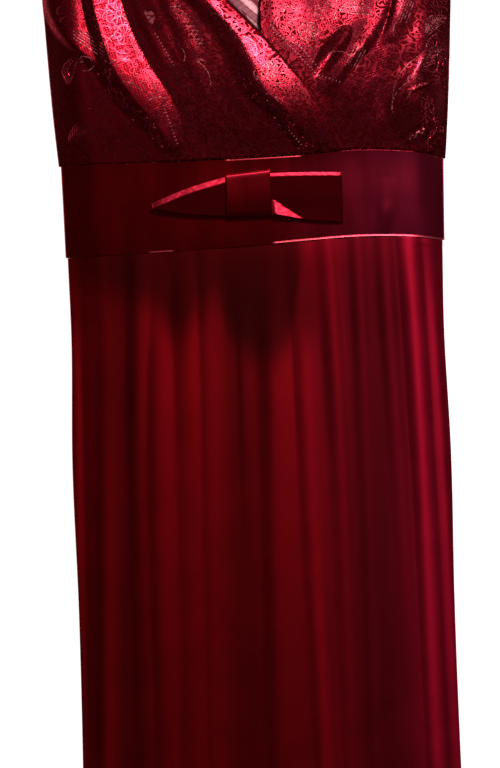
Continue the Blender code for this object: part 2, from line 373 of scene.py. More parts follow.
# x, y, reach across, reach along, turn, depth; the last two are swellings
UNDER_HOLLOWS = [
    (83, 103, 11, 32, -38, 2.9),
    (54, 152, 30, 42, 0, 1.3),
    (101, 74, 26, 40, 0, -1.8),
    (164, 49, 31, 41, 0, -4.6),
]
print("folds and hollows of the under panel:", len(UNDER_FOLDS), len(UNDER_HOLLOWS))

# %% [markdown]
# ## Skirt folds
#
# Jersey gathered into a band hangs in long, shallow folds. They are only a millimetre or two high, so much
# of what is seen is the sheen along each crest and the shade in each valley. Simulated cloth gives folds of
# this kind too, but not in chosen places. Each row here is one line down the skirt, and it also says how
# much painted highlight or painted shade the cloth gets there: the highlight is light painted on beyond
# what plain cloth gives back, and the shade is light painted out of it.

# %% Folds and valleys of the skirt
# stations along the skirt, in millimetres from the waist: where the lines and the rises or shades are given
FOLD_STATIONS = {"x": (-1085, -577, -300, -130, -88), "rise": (-1085, -577, -337, -212, -150, -92)}
SKIRT_FOLDS = [
    # line across the skirt, rise, reach to the left and to the right, painted highlight near the hem and near
    # the band
    ((-204, -192, -187, -184, -182), (1.0, 1.2, 1.4, 1.3, 0.9, 0.4), 8, 10, (0.65, 0.35)),
    ((-176, -164, -156, -152, -151), (1.3, 1.5, 1.0, 0.5, 0.2, 0.0), 13, 18, (0.65, 0.05)),
    ((-133, -125, -124, -119, -118), (0.8, 0.8, 1.0, 1.5, 1.3, 0.5), 14, 20, (0.0, 0.0)),
    ((-112, -104, -104, -99, -98), (1.3, 1.2, 1.5, 1.5, 0.5, 0.0), 20, 28, (0.20, 0.15)),
    ((-86, -77, -74, -70, -69), (1.0, 0.9, 0.9, 1.4, 1.3, 0.2), 24, 24, (0.10, 0.05)),
    ((-62, -55, -53, -51, -50), (0.7, 0.6, 0.7, 1.0, 1.2, 0.4), 15, 22, (0.15, 0.0)),
    ((-20, -17, -16, -16, -16), (0.3, 0.0, 0.2, 0.6, 0.1, 0.0), 8, 14, (0.0, 0.0)),
    ((12, 9, 13, 15, 16), (1.3, 1.3, 1.4, 1.3, 0.3, 0.0), 17, 26, (0.05, 0.05)),
    ((62, 54, 47, 42, 40), (1.3, 1.2, 1.0, 1.1, 0.5, 0.3), 15, 18, (0.60, 0.10)),
    ((92, 82, 79, 74, 72), (0.7, 0.6, 1.0, 1.2, 1.3, 0.9), 15, 12, (0.10, 0.10)),
    ((118, 106, 105, 103, 102), (0.6, 0.4, 0.7, 0.9, 1.2, 0.9), 12, 12, (0.05, 0.05)),
    ((156, 146, 137, 130, 129), (0.8, 0.5, 0.9, 1.2, 1.5, 1.0), 13, 14, (0.05, 0.05)),
    ((184, 166, 161, 155, 152), (2.2, 2.0, 2.2, 2.4, 2.2, 1.4), 16, 20, (1.20, 0.70)),
    ((200, 187, 181, 176, 175), (1.2, 1.2, 1.2, 1.3, 1.3, 0.8), 14, 9, (0.95, 0.60)),
]
SKIRT_VALLEYS = [
    # line across the skirt, painted shade along it, which also sets the valley's depth, half of the width
    ((-150, -144, -142, -138, -138), (0.30, 0.30, 0.35, 0.40, 0.30, 0.0), 26),
    ((-24, -20, -21, -24, -22), (0.25, 0.35, 0.35, 0.40, 0.40, 0.1), 24),
    ((2, 0, 2, 4, 4), (0.05, 0.05, 0.08, 0.28, 0.30, 0.1), 16),
    ((46, 46, 46, 46, 46), (0.0, 0.0, 0.0, 0.08, 0.50, 0.0), 17),
    ((76, 72, 69, 66, 66), (0.0, 0.0, 0.20, 0.40, 0.10, 0.0), 11),
    ((104, 94, 94, 91, 90), (0.10, 0.25, 0.35, 0.38, 0.35, 0.2), 12),
    ((128, 118, 119, 116, 114), (0.25, 0.40, 0.50, 0.55, 0.50, 0.4), 19),
    ((164, 152, 145, 139, 137), (0.0, 0.0, 0.20, 0.35, 0.35, 0.3), 8),
]
VALLEY_DEPTH = 0.6
print("skirt folds and valleys:", len(SKIRT_FOLDS), len(SKIRT_VALLEYS))

# %% Height and painted light of the skirt's folds
# Down the skirt the painted light changes: the right side's painted highlight grows toward the hem, and the
# lower skirt is painted darker, a painted shade.
LOW_SKIRT = {"from": -0.55, "over": 0.35}
PAINTED_HIGHLIGHT_SIDE = {"from": 0.14, "over": 0.02, "painted_highlight": 0.15, "low_painted_highlight": 0.30}
HIGHLIGHT_REACH = 0.6
LOW_SKIRT_SHADE = 0.86


def along_skirt(kind, values, y):
    return curve_through(np.array(FOLD_STATIONS[kind]) * MM, values, y)


def fold_part(crests, left, right, x, y):
    """How far a place is from a fold's crest: 0 on the crest, 1 at its foot, more beyond it."""
    away = x - along_skirt("x", crests, y) * MM
    return np.abs(away) / (np.where(away < 0, left, right) * MM)


def valleys(x, y):
    total = 0.0
    for line, shade, wide in SKIRT_VALLEYS:
        away = (x - along_skirt("x", line, y) * MM) / (wide * MM)
        total = total + along_skirt("rise", shade, y) * np.exp(-away * away)
    return total


def skirt_fold_height(x, y):
    total = np.zeros(np.broadcast(x, y).shape)
    for crests, rises, left, right, _ in SKIRT_FOLDS:
        crest = soft_crest(np.clip(fold_part(crests, left, right, x, y), 0.0, 1.0))
        total += (np.maximum(along_skirt("rise", rises, y), 0.0) * crest) ** FOLD_BLEND
    return (total ** (1 / FOLD_BLEND) - VALLEY_DEPTH * valleys(x, y)) * MM


def skirt_painted_light(x, y):
    """Painted light on the skirt, 1 for plain cloth: painted highlights on crests and on the right side,
    painted shade in valleys and toward the hem.
    """
    low = 1 - ease((y - LOW_SKIRT["from"]) / LOW_SKIRT["over"])
    side_painted_highlight = mix(PAINTED_HIGHLIGHT_SIDE["painted_highlight"], PAINTED_HIGHLIGHT_SIDE["low_painted_highlight"], low)
    tone_and_painted_light = 1.0 + side_painted_highlight * ease((x - PAINTED_HIGHLIGHT_SIDE["from"]) / PAINTED_HIGHLIGHT_SIDE["over"])
    for crests, _, left, right, (low_painted_highlight, high_painted_highlight) in SKIRT_FOLDS:
        crest = soft_crest(np.clip(fold_part(crests, left, right, x, y) / HIGHLIGHT_REACH, 0.0, 1.0))
        tone_and_painted_light = tone_and_painted_light + mix(high_painted_highlight, low_painted_highlight, low) * crest
    return (tone_and_painted_light - valleys(x, y)) * mix(1.0, LOW_SKIRT_SHADE, low)


for place in (-0.160, 0.116):
    print("tone at x =", place, "is", round(float(skirt_painted_light(place, -0.2)), 2))

# %% [markdown]
# ## Height of each front piece
#
# Each front piece rests on what lies under it. So its height starts from the lifted body, and its own
# folds, crumples and rolled edges are added. A physics run could find these heights, but the seams would
# then no longer meet to a fraction of a millimetre.

# %% Heights of the lace panels
SEAM_FADE = {"over": 0.02, "start": 0.1}
LACE_CRUMPLE = {"rise": 0.18 * MM, "across": 0.011, "along": 0.03}
CRUMPLE_LEAN = 0.4
CROSSING = {"from": -0.13, "over": 0.05}
UNDER_FADE = {"from": 0.002, "over": 0.014}


def neck_line(y):
    """The over panel's front edge, which crosses the under panel."""
    return curve_through(OVER_NECK["y"], OVER_NECK["x"], y)


def seam_fade(y):
    """Folds die out at the waist seam."""
    return ease(y / SEAM_FADE["over"] + SEAM_FADE["start"])


def over_height(x, y):
    crumple = ripple(LACE_CRUMPLE, x + CRUMPLE_LEAN * y, y, seed=3)
    step = PANEL_STEP * ease((x - CROSSING["from"]) / CROSSING["over"])
    folds = (fold_height(OVER_FOLDS, x, y) + crumple) * seam_fade(y)
    roll = NECK_ROLL * (1 - ease((neck_line(y) - x) / NECK_ROLL_WIDTH))
    return front_base(x, y) + step + folds - roll


def under_height(x, y):
    crumple = ripple(LACE_CRUMPLE, x - CRUMPLE_LEAN * y, y, seed=4)
    folds = fold_height(UNDER_FOLDS, x, y) - hollow_depth(UNDER_HOLLOWS, x, y) + crumple
    shown = ease((x - neck_line(y) - UNDER_FADE["from"]) / UNDER_FADE["over"])
    return front_base(x, y) + folds * shown * seam_fade(y)


print("over panel's height at its main fold:", round(float(over_height(-0.12, 0.06)), 4))

# %% Height of the waistband, with its rolled seams
BAND_CRUMPLE = {"rise": 0.15 * MM, "across": 0.03, "along": 0.05}
ROLL_END = 0.004
TOP_ROLL = {"first": -0.025, "last": 0.049}
BOTTOM_ROLL = {"first": 0.018, "last": 0.190}
FAINT_ROLL = {"first": -0.106, "last": -0.082}
FAINT_SHARE = 0.6


def rolled_edge(inward, x, first, last):
    """The turned edge of a seam bends down over its last millimetres, between two places along the seam."""
    inside = ease((x - first) / ROLL_END + 0.5) * ease((last - x) / ROLL_END + 0.5)
    return -EDGE_ROLL * inside * (1 - ease(inward / EDGE_WIDTH))


BAND_FOLDS = [
    {
        "y": (-84, -72, -60, -44, -24),
        "x": (126, 129, 131, 132, 134),
        "rise": (0, 0.9, 1.3, 0.6, 0),
        "left": 12,
        "right": 14,
    },
]


def band_height(x, y):
    return front_base(x, y) + BAND_STEP + ripple(BAND_CRUMPLE, x, y, seed=5)


def band_with_seams(x, y):
    """The band's height, and where its turned edges catch the light, which the satin shows as a painted
    highlight.
    """
    below_top = seam(x, "top") - SEAM_GAP / 2 - y
    above_bottom = y - seam(x, "bottom") - SEAM_GAP / 2
    top = rolled_edge(below_top, x, **TOP_ROLL)
    bottom = rolled_edge(above_bottom, x, **BOTTOM_ROLL)
    bottom = bottom + FAINT_SHARE * rolled_edge(above_bottom, x, **FAINT_ROLL)
    return band_height(x, y) + fold_height(BAND_FOLDS, x, y) + top - bottom, -(top + bottom) / EDGE_ROLL


print("band's height above the bow:", round(float(band_height(0.0, -0.01)), 4))

# %% Height of the skirt
FINE_RIPPLE = {"rise": 0.05 * MM, "across": 0.009, "along": 0.16}
BROAD_RIPPLE = {"rise": 0.25 * MM, "across": 0.03, "along": 0.25}
RIPPLE_START = 0.03


def skirt_height(x, y):
    ripples = ripple(FINE_RIPPLE, x, y, seed=6) + ripple(BROAD_RIPPLE, x, y, seed=7)
    folds = skirt_fold_height(x, y) + ripples * ease((BAND_SIDES["y"][0] - y) / RIPPLE_START)
    return front_base(x, y) + folds


print("skirt's height below the bow:", round(float(skirt_height(0.0, -0.2)), 4))

# %% [markdown]
# ## Cloth
#
# A panel is one piece of cloth about a millimetre thick. One function makes them all: a flat grid, moved
# point by point, then given its wall by a Solidify modifier. It also measures the cloth along both
# directions. The measures become the map that the weave follows, and the size that the panel was cut to.

# %% Measuring cloth
def point_places(mesh):
    spots = np.zeros(len(mesh.vertices) * 3)
    mesh.vertices.foreach_get("co", spots)
    return spots.reshape(-1, 3)


def distance_along(points, axis):
    """Distance over the cloth from its first row or column."""
    first = points[:1] if axis == 0 else points[:, :1]
    return np.cumsum(np.linalg.norm(np.diff(points, axis=axis, prepend=first), axis=-1), axis=axis)


def cloth_area(points):
    first, second = points[1:, 1:] - points[:-1, :-1], points[1:, :-1] - points[:-1, 1:]
    return float(0.5 * np.linalg.norm(np.cross(first, second), axis=-1).sum())


square = np.stack([*np.meshgrid((0.0, 1.0), (0.0, 1.0)), np.zeros((2, 2))], axis=-1)
print("area of a one-metre square:", cloth_area(square))

# %% Grids, objects and attributes
def flat_grid(name, columns, rows, half_size):
    mesh = bpy.data.meshes.new(name)
    grid = bmesh.new()
    bmesh.ops.create_grid(grid, x_segments=columns, y_segments=rows, size=half_size)
    grid.to_mesh(mesh)
    grid.free()
    return mesh


def add_object(name, data):
    made = bpy.data.objects.new(name, data)
    bpy.context.scene.collection.objects.link(made)
    return made


def point_attribute(mesh, name, values):
    mesh.attributes.new(name, "FLOAT", "POINT").data.foreach_set("value", values)


# %% Cloth shells
def cloth_shell(name, columns, rows, place, wall=WALL, crowd=None):
    """A grid moved by place(across, along). It may also give a fourth value, where the edges get a painted
    highlight.
    """
    mesh = flat_grid(name, columns, rows, 0.5)
    flat = point_places(mesh)
    order = np.lexsort((flat[:, 0].round(6), flat[:, 1].round(6)))
    wide = len(np.unique(flat[:, 0].round(6)))
    across = flat[order, 0].reshape(-1, wide) + 0.5
    along = flat[order, 1].reshape(-1, wide) + 0.5
    if crowd:
        along = curve_through(*crowd, along)
    x, y, z, *edge = place(across, along)
    points = np.stack([x, y + WAIST, z], axis=-1)
    placed = np.empty_like(flat)
    placed[order] = points.reshape(-1, 3)
    mesh.vertices.foreach_set("co", placed.ravel())
    run_x, run_y = distance_along(points, 1), distance_along(points, 0)
    cloth = np.empty((len(flat), 2))
    cloth[order] = np.stack([run_x - run_x[:, wide // 2 : wide // 2 + 1], run_y], axis=-1).reshape(-1, 2)
    if edge:
        shine = np.empty(len(flat))
        shine[order] = np.clip(edge[0], 0.0, 1.0).ravel()
        # the fourth value is the edges' painted highlight, kept for the satin's colour
        point_attribute(mesh, "edge", shine)
    corners = np.zeros(len(mesh.loops), dtype=np.int32)
    mesh.loops.foreach_get("vertex_index", corners)
    mesh.uv_layers.new(name="cloth").data.foreach_set("uv", cloth[corners].ravel())
    mesh.shade_smooth()
    mesh.update()
    piece = add_object(name, mesh)
    solid = piece.modifiers.new("wall", "SOLIDIFY")
    solid.thickness = wall
    solid.offset = 1.0
    size = (float(np.ptp(run_x, axis=1).max()), float(run_y[-1].max()))
    print(f"{name}: {points.shape[1]} x {points.shape[0]} points, cloth {size[0]:.3f} x {size[1]:.3f} m")
    return piece, size, cloth_area(points)

# %% [markdown]
# ## Finishes
#
# Three cloths make the gown: lace, satin and jersey, with a smooth lining behind the lace. All of them
# shine, and each shows its own grain close up. Painted images would blur there, so every finish is built
# from nodes: noises and waves that read the piece's place or the map along its cloth. A few helpers keep
# those node trees short.

# %% Shader helpers
def new_material(name, base, roughness, metallic):
    material = bpy.data.materials.new(name)
    material.use_nodes = True
    tree = material.node_tree
    shader = tree.nodes["Principled BSDF"]
    shader.inputs["Base Color"].default_value = (*base, 1)
    shader.inputs["Roughness"].default_value = roughness
    shader.inputs["Metallic"].default_value = metallic
    return material, tree, shader


def feed(tree, socket, value):
    if isinstance(value, bpy.types.NodeSocket):
        tree.links.new(value, socket)
    else:
        socket.default_value = value


def calc(tree, operation, first, second=0.0, third=0.0):
    node = tree.nodes.new("ShaderNodeMath")
    node.operation = operation
    for socket, value in zip(node.inputs, (first, second, third)):
        feed(tree, socket, value)
    return node.outputs[0]


def blend_colour(tree, part, start, end):
    node = tree.nodes.new("ShaderNodeMix")
    node.data_type = "RGBA"
    feed(tree, node.inputs["Factor"], part)
    for socket, value in ((node.inputs["A"], start), (node.inputs["B"], end)):
        feed(tree, socket, (*value, 1) if isinstance(value, tuple) else value)
    return node.outputs["Result"]


def ramp(tree, value, low, high, start=0.0, end=1.0):
    node = tree.nodes.new("ShaderNodeMapRange")
    node.interpolation_type = "SMOOTHSTEP"
    names = ("Value", "From Min", "From Max", "To Min", "To Max")
    for name, number in zip(names, (value, low, high, start, end)):
        feed(tree, node.inputs[name], number)
    return node.outputs["Result"]


print("materials before the first is made:", len(bpy.data.materials))

# %% Weaves, places and bumps
def noise(tree, vector, scale, detail=2.0):
    node = tree.nodes.new("ShaderNodeTexNoise")
    tree.links.new(vector, node.inputs["Vector"])
    node.inputs["Scale"].default_value = scale
    node.inputs["Detail"].default_value = detail
    return node.outputs["Fac"]


def stretched(tree, vector, scale):
    node = tree.nodes.new("ShaderNodeMapping")
    tree.links.new(vector, node.inputs["Vector"])
    node.inputs["Scale"].default_value = scale
    return node.outputs["Vector"]


def places(tree):
    """The piece's own place in the gown, and the map measured along its cloth."""
    where = tree.nodes.new("ShaderNodeTexCoord").outputs["Object"]
    cloth = tree.nodes.new("ShaderNodeUVMap")
    cloth.uv_map = "cloth"
    return where, cloth.outputs["UV"]


def split(tree, vector):
    node = tree.nodes.new("ShaderNodeSeparateXYZ")
    tree.links.new(vector, node.inputs[0])
    return node.outputs[0], node.outputs[1]


def bump(tree, shader, height, relief):
    node = tree.nodes.new("ShaderNodeBump")
    tree.links.new(height, node.inputs["Height"])
    node.inputs["Distance"].default_value = relief["height"]
    node.inputs["Strength"].default_value = relief["strength"]
    tree.links.new(node.outputs["Normal"], shader.inputs["Normal"])


def off_middle(tree, value):
    """How far a noise is from its middle: its lowest values draw thin, wandering lines."""
    return calc(tree, "ABSOLUTE", calc(tree, "SUBTRACT", value, 0.5))


# The right half of the gown is painted paler and pinker, a painted sheen for the lamp's light from the right.
PAINTED_SHEEN_SIDE = (-0.02, 0.20)


def painted_sheen_to_the_right(tree, where, plain_colour, sheen_colour):
    """Painted sheen: the colour turns paler and pinker on the right half of the gown, nearer the lamp."""
    return blend_colour(tree, ramp(tree, split(tree, where)[0], *PAINTED_SHEEN_SIDE), plain_colour, sheen_colour)


def attribute(tree, name):
    node = tree.nodes.new("ShaderNodeAttribute")
    node.attribute_name = name
    return node.outputs["Fac"]


print("the painted_sheen turns cooler from x =", PAINTED_SHEEN_SIDE[0], "to", PAINTED_SHEEN_SIDE[1])

# %% [markdown]
# ## Corded lace
#
# The lace is a fine net with flowers and scrolls drawn on it in thicker thread. Thread by thread it would
# take millions of faces. So the net, the openings and the thin outlines are a pattern of nodes, and only
# the larger cords are made as shapes, further down. The openings are darker and also less polished than the
# thread. In a strong light the thread glints and the openings stay dark.

# %% Lace material
# thread colour, then its painted sheen colour on the right half
LACE_THREAD = {"plain_colour": (0.33, 0.0035, 0.014), "sheen_colour": (0.34, 0.0065, 0.028), "roughness": 0.27}
LACE_OPENING = {"colour": (0.085, 0.0001, 0.001), "roughness": 0.50}
LACE_OUTLINE = (0.40, 0.016, 0.032)
NET_PITCH = 0.0024
NET_TURN = math.radians(18)
NET_HOLE = (0.12, 0.42)
# each pattern's scale, then where its ramp starts and ends
MOTIF_PATCH = (30.0, 0.42, 0.50)
MOTIF_GAP = (220.0, 0.49, 0.57)
SCRIBBLE_SCALE = 130.0
SCRIBBLE_LINE = (0.025, 0.050)
SCRIBBLE_EDGES = ((0.040, 0.065), (0.150, 0.210))
NET_IN_MOTIFS = 0.8
CORDED_SIDE = {"from": -0.100, "to": -0.070, "least": 0.35}
LACE_RELIEF = {"scale": 220.0, "share": 0.8, "height": 0.00006, "strength": 0.5}


def net_waves(tree, u, v):
    """Two sets of waves that cross at right angles. Their product is high in the holes of the net."""
    cosine, sine = math.cos(NET_TURN), math.sin(NET_TURN)
    waves = []
    for first, second in ((cosine, sine), (-sine, cosine)):
        run = calc(tree, "ADD", calc(tree, "MULTIPLY", u, first), calc(tree, "MULTIPLY", v, second))
        wave = calc(tree, "SINE", calc(tree, "MULTIPLY", run, math.pi / NET_PITCH))
        waves.append(calc(tree, "ABSOLUTE", wave))
    return calc(tree, "MULTIPLY", *waves)


def lace_material():
    base, roughness = (0.30, 0.005, 0.012), LACE_THREAD["roughness"]
    material, tree, shader = new_material("lace", base, roughness, metallic=0.95)
    where, cloth = places(tree)
    u, v = split(tree, where)
    corded = ramp(tree, u, CORDED_SIDE["from"], CORDED_SIDE["to"], CORDED_SIDE["least"], 1.0)
    patch_scale, *patch_ramp = MOTIF_PATCH
    patch = calc(tree, "MULTIPLY", ramp(tree, noise(tree, cloth, patch_scale, 1.0), *patch_ramp), corded)
    scribble = off_middle(tree, noise(tree, cloth, SCRIBBLE_SCALE, 1.0))
    line = ramp(tree, scribble, *SCRIBBLE_LINE, 1.0, 0.0)
    inner, outer = SCRIBBLE_EDGES
    outline = calc(tree, "MULTIPLY", ramp(tree, scribble, *inner), ramp(tree, scribble, *outer, 1.0, 0.0))
    gap_scale, *gap_ramp = MOTIF_GAP
    gap = calc(tree, "MAXIMUM", outline, ramp(tree, noise(tree, cloth, gap_scale, 1.0), *gap_ramp))
    gap = calc(tree, "MULTIPLY", gap, patch)
    net = calc(tree, "SUBTRACT", 1.0, calc(tree, "MULTIPLY", patch, NET_IN_MOTIFS))
    hole = calc(tree, "MULTIPLY", ramp(tree, net_waves(tree, u, v), *NET_HOLE), net)
    opening = calc(tree, "MULTIPLY", calc(tree, "MAXIMUM", hole, gap), calc(tree, "SUBTRACT", 1.0, line))
    thread = painted_sheen_to_the_right(tree, where, LACE_THREAD["plain_colour"], LACE_THREAD["sheen_colour"])
    colour = blend_colour(tree, opening, thread, LACE_OPENING["colour"])
    colour = blend_colour(tree, calc(tree, "MULTIPLY", line, corded), colour, LACE_OUTLINE)
    tree.links.new(colour, shader.inputs["Base Color"])
    polish = ramp(tree, opening, 0.0, 1.0, roughness, LACE_OPENING["roughness"])
    tree.links.new(polish, shader.inputs["Roughness"])
    grain = calc(tree, "MULTIPLY", noise(tree, cloth, LACE_RELIEF["scale"]), LACE_RELIEF["share"])
    relief = calc(tree, "ADD", calc(tree, "MULTIPLY", hole, -1.0), grain)
    bump(tree, shader, relief, LACE_RELIEF)
    return material


lace = lace_material()
print("lace nodes:", len(lace.node_tree.nodes))

# %% [markdown]
# ## Cord, trim and beads
#
# The cord is the lace's own thread, so it is dark and shines. The trim and the small beads are painted
# paler: a painted highlight for the light that they catch on slopes that face away from the lamp, broken
# up by a noise. All three can be one material function with other colours.

# %% Cord materials
CORD_TONES = (350.0, 0.42, 0.58)
CORD_RELIEF = {"scale": 2400.0, "height": 0.00002, "strength": 0.3}


def cord_material(name, roughness, deep, light, metallic=0.97):
    material, tree, shader = new_material(name, deep, roughness, metallic)
    where, _ = places(tree)
    scale, *tones = CORD_TONES
    tone_and_painted_light = ramp(tree, noise(tree, where, scale), *tones)
    tree.links.new(blend_colour(tree, tone_and_painted_light, deep, light), shader.inputs["Base Color"])
    twist = noise(tree, where, CORD_RELIEF["scale"])
    bump(tree, shader, twist, CORD_RELIEF)
    return material


cord = cord_material("lace_cord", 0.23, (0.36, 0.014, 0.030), (0.44, 0.022, 0.044))
# the trim's and the beads' pale colours are painted highlights
trim = cord_material("lace_trim", 0.30, (0.30, 0.012, 0.020), (1.0, 0.190, 0.230), metallic=0.45)
beading = cord_material("lace_beading", 0.30, (0.80, 0.140, 0.190), (1.0, 0.250, 0.310), metallic=0.40)
print("cord materials:", cord.name, trim.name, beading.name)

# %% [markdown]
# ## Satin
#
# Satin has long, smooth threads across a fine weft, so it mirrors softly and its turned edges glint. A
# mirror finish would look like plastic. Here a stretched noise gives the weft, a broad one makes the polish
# uneven, and an attribute that the cloth function wrote says where the edges turn and catch the lamp. There
# the colour is painted paler, a painted highlight, and the polish is a little duller.

# %% Satin material
SATIN_WEFT = (260.0, 1900.0, 1.0)
SATIN_STREAKS = (34.0, 9.0, 1.0)
SATIN_ROUGHNESS = (0.35, 0.70, 0.27, 0.33)
EDGE_ROUGHNESS = 0.11
SATIN_RELIEF = {"height": 0.00006, "strength": 0.5}


def satin_material(name, plain_colour, sheen_colour, edge_highlight_colour):
    material, tree, shader = new_material(name, plain_colour, roughness=0.30, metallic=0.95)
    where, cloth = places(tree)
    # painted highlight: the colour turns paler where the turned edges catch the lamp
    edge = attribute(tree, "edge")
    colour = blend_colour(tree, edge, painted_sheen_to_the_right(tree, where, plain_colour, sheen_colour), edge_highlight_colour)
    tree.links.new(colour, shader.inputs["Base Color"])
    weft = noise(tree, stretched(tree, cloth, SATIN_WEFT), 1.0)
    streaks = noise(tree, stretched(tree, cloth, SATIN_STREAKS), 1.0)
    dull = calc(tree, "MULTIPLY", edge, EDGE_ROUGHNESS)
    roughness = calc(tree, "ADD", ramp(tree, streaks, *SATIN_ROUGHNESS), dull)
    tree.links.new(roughness, shader.inputs["Roughness"])
    bump(tree, shader, weft, SATIN_RELIEF)
    return material


# colours: plain, painted sheen on the right, and the painted highlight of the turned edges; the bow's copy
# has a weaker sheen and its own highlight colour
satin = satin_material("satin", (0.30, 0.0015, 0.005), (0.42, 0.014, 0.050), (0.85, 0.100, 0.140))
bow_satin = satin_material("bow_satin", (0.28, 0.0020, 0.007), (0.30, 0.0030, 0.012), (0.95, 0.026, 0.066))
print("satin roughness runs from", SATIN_ROUGHNESS[2], "to", SATIN_ROUGHNESS[3])

# %% [markdown]
# ## Jersey
#
# Jersey is a knit with fine ribs down its length, which smear a highlight sideways. Anisotropy does the
# same for the whole surface at once, and a stretched noise adds the ribs. Deep gathers hold back more light
# than shallow geometry can show, so the front skirt also has painted light, written on its points: painted
# shade in its gathers and valleys and toward the hem, and painted highlights on its crests and right side.

# %% Jersey material
# jersey colour, then its painted sheen colour on the right half
JERSEY_COLOURS = ((0.36, 0.0010, 0.006), (0.40, 0.004, 0.024))
JERSEY_RIBS = (900.0, 90.0, 1.0)
JERSEY_ROUGHNESS = {"scale": 25.0, "ramp": (0.3, 0.7, 0.47, 0.54)}
JERSEY_RELIEF = {"height": 0.00010, "strength": 0.5}
JERSEY_SHEEN = {"anisotropy": 0.55, "turn": 0.25}
MOST_PAINTED_LIGHT = 2.0


def jersey_material(name, with_painted_light):
    material, tree, shader = new_material(name, (0.45, 0.0012, 0.010), roughness=0.50, metallic=0.92)
    where, cloth = places(tree)
    colour = painted_sheen_to_the_right(tree, where, *JERSEY_COLOURS)
    # the skirt's painted highlights and painted shade scale its colour
    if with_painted_light:
        scale = tree.nodes.new("ShaderNodeVectorMath")
        scale.operation = "SCALE"
        tree.links.new(colour, scale.inputs["Vector"])
        feed(tree, scale.inputs["Scale"], calc(tree, "MULTIPLY", attribute(tree, "tone_and_painted_light"), MOST_PAINTED_LIGHT))
        colour = scale.outputs["Vector"]
    tree.links.new(colour, shader.inputs["Base Color"])
    polish = noise(tree, cloth, JERSEY_ROUGHNESS["scale"])
    tree.links.new(ramp(tree, polish, *JERSEY_ROUGHNESS["ramp"]), shader.inputs["Roughness"])
    rib = noise(tree, stretched(tree, cloth, JERSEY_RIBS), 1.0)
    bump(tree, shader, rib, JERSEY_RELIEF)
    shader.inputs["Anisotropic"].default_value = JERSEY_SHEEN["anisotropy"]
    shader.inputs["Anisotropic Rotation"].default_value = JERSEY_SHEEN["turn"]
    tangent = tree.nodes.new("ShaderNodeTangent")
    tangent.direction_type = "UV_MAP"
    tangent.uv_map = "cloth"
    tree.links.new(tangent.outputs["Tangent"], shader.inputs["Tangent"])
    return material


jersey, front_jersey = jersey_material("jersey", False), jersey_material("front_jersey", True)
print("jersey materials:", jersey.name, front_jersey.name)

# %% [markdown]
# ## Lining
#
# The back panel is lined with a smooth, greyish rose cloth, which shows only in the V of the neck. It lies
# in small slanting tucks. They are too fine for shapes, so a slanted noise paints them: paler and darker
# bands for the light and shade on the tucks, and dark lines of painted shade between them.

# %% Lining material
# how fast the tucks' noise changes along x and along y, across the tucks and along them
TUCK_ACROSS, TUCK_ALONG = (140.0, 121.0), (-11.0, 13.0)
# the tucks' painted shade and painted light, then the painted shade of the lines between them
TUCK_LIGHT_AND_SHADE = ((0.44, 0.12, 0.15), (0.70, 0.28, 0.31))
TUCK_TONES = (0.40, 0.60)
TUCK_SHADE_LINE = {"colour": (0.20, 0.003, 0.018), "ramp": (0.025, 0.065, 0.9, 0.0)}
LINING_RELIEF = {"scale": 900.0, "height": 0.0001, "strength": 0.3}


def lining_material():
    material, tree, shader = new_material("lining", (0.90, 0.42, 0.50), roughness=0.45, metallic=0.7)
    where, cloth = places(tree)
    u, v = split(tree, where)
    grain = tree.nodes.new("ShaderNodeCombineXYZ")
    for socket, (along_x, along_y) in zip(grain.inputs, (TUCK_ACROSS, TUCK_ALONG)):
        run = calc(tree, "ADD", calc(tree, "MULTIPLY", u, along_x), calc(tree, "MULTIPLY", v, along_y))
        feed(tree, socket, run)
    tucks = noise(tree, grain.outputs[0], 1.0, 1.0)
    line = ramp(tree, off_middle(tree, tucks), *TUCK_SHADE_LINE["ramp"])
    colour = blend_colour(tree, ramp(tree, tucks, *TUCK_TONES), *TUCK_LIGHT_AND_SHADE)
    tree.links.new(blend_colour(tree, line, colour, TUCK_SHADE_LINE["colour"]), shader.inputs["Base Color"])
    grit = noise(tree, cloth, LINING_RELIEF["scale"])
    bump(tree, shader, grit, LINING_RELIEF)
    return material


rose = lining_material()
print("lining nodes:", len(rose.node_tree.nodes))

# %% [markdown]
# ## Back layer
#
# The back lies on the table, so its underside stays flat and its creases only rise inward. It carries the
# same three cloths as the front, and a lining over its lace. It could be a copy of the front, but a lower
# neck and its own gathers make it look like the back of a real gown.

# %% Creases of the back layer
BACK_GATHERS = [
    # x at the band, x at the hem, rise, half of the width, length: a soft gather each, in millimetres
    (-158, -172, 0.7, 12, 240),
    (-121, -128, 1.1, 15, 520),
    (-83, -90, 0.6, 9, 170),
    (-52, -60, 1.0, 13, 760),
    (-12, -10, 0.8, 10, 300),
    (21, 26, 1.1, 14, 610),
    (58, 66, 0.6, 9, 150),
    (92, 104, 1.0, 12, 430),
    (139, 150, 0.9, 15, 820),
]
BACK_CREASES = [
    {
        "y": (30, 70, 120, 170, 205),
        "x": (-60, -88, -126, -160, -176),
        "rise": (0, 0.6, 0.8, 0.6, 0),
        "left": (14, 16, 18, 16, 12),
        "right": (9, 10, 11, 10, 8),
    },
    {
        "y": (15, 60, 105, 150, 190),
        "x": (52, 84, 118, 150, 172),
        "rise": (0, 0.8, 0.9, 0.5, 0),
        "left": (8, 9, 10, 9, 8),
        "right": (16, 18, 20, 16, 12),
    },
    {
        "y": (4, 50, 110, 180, 240),
        "x": (10, 2, -9, -6, 4),
        "rise": (0, 0.5, 0.7, 0.4, 0),
        "left": (16, 20, 22, 20, 16),
        "right": (16, 18, 20, 20, 16),
    },
]
BACK_EDGE = 0.035
GATHER_START = 0.012


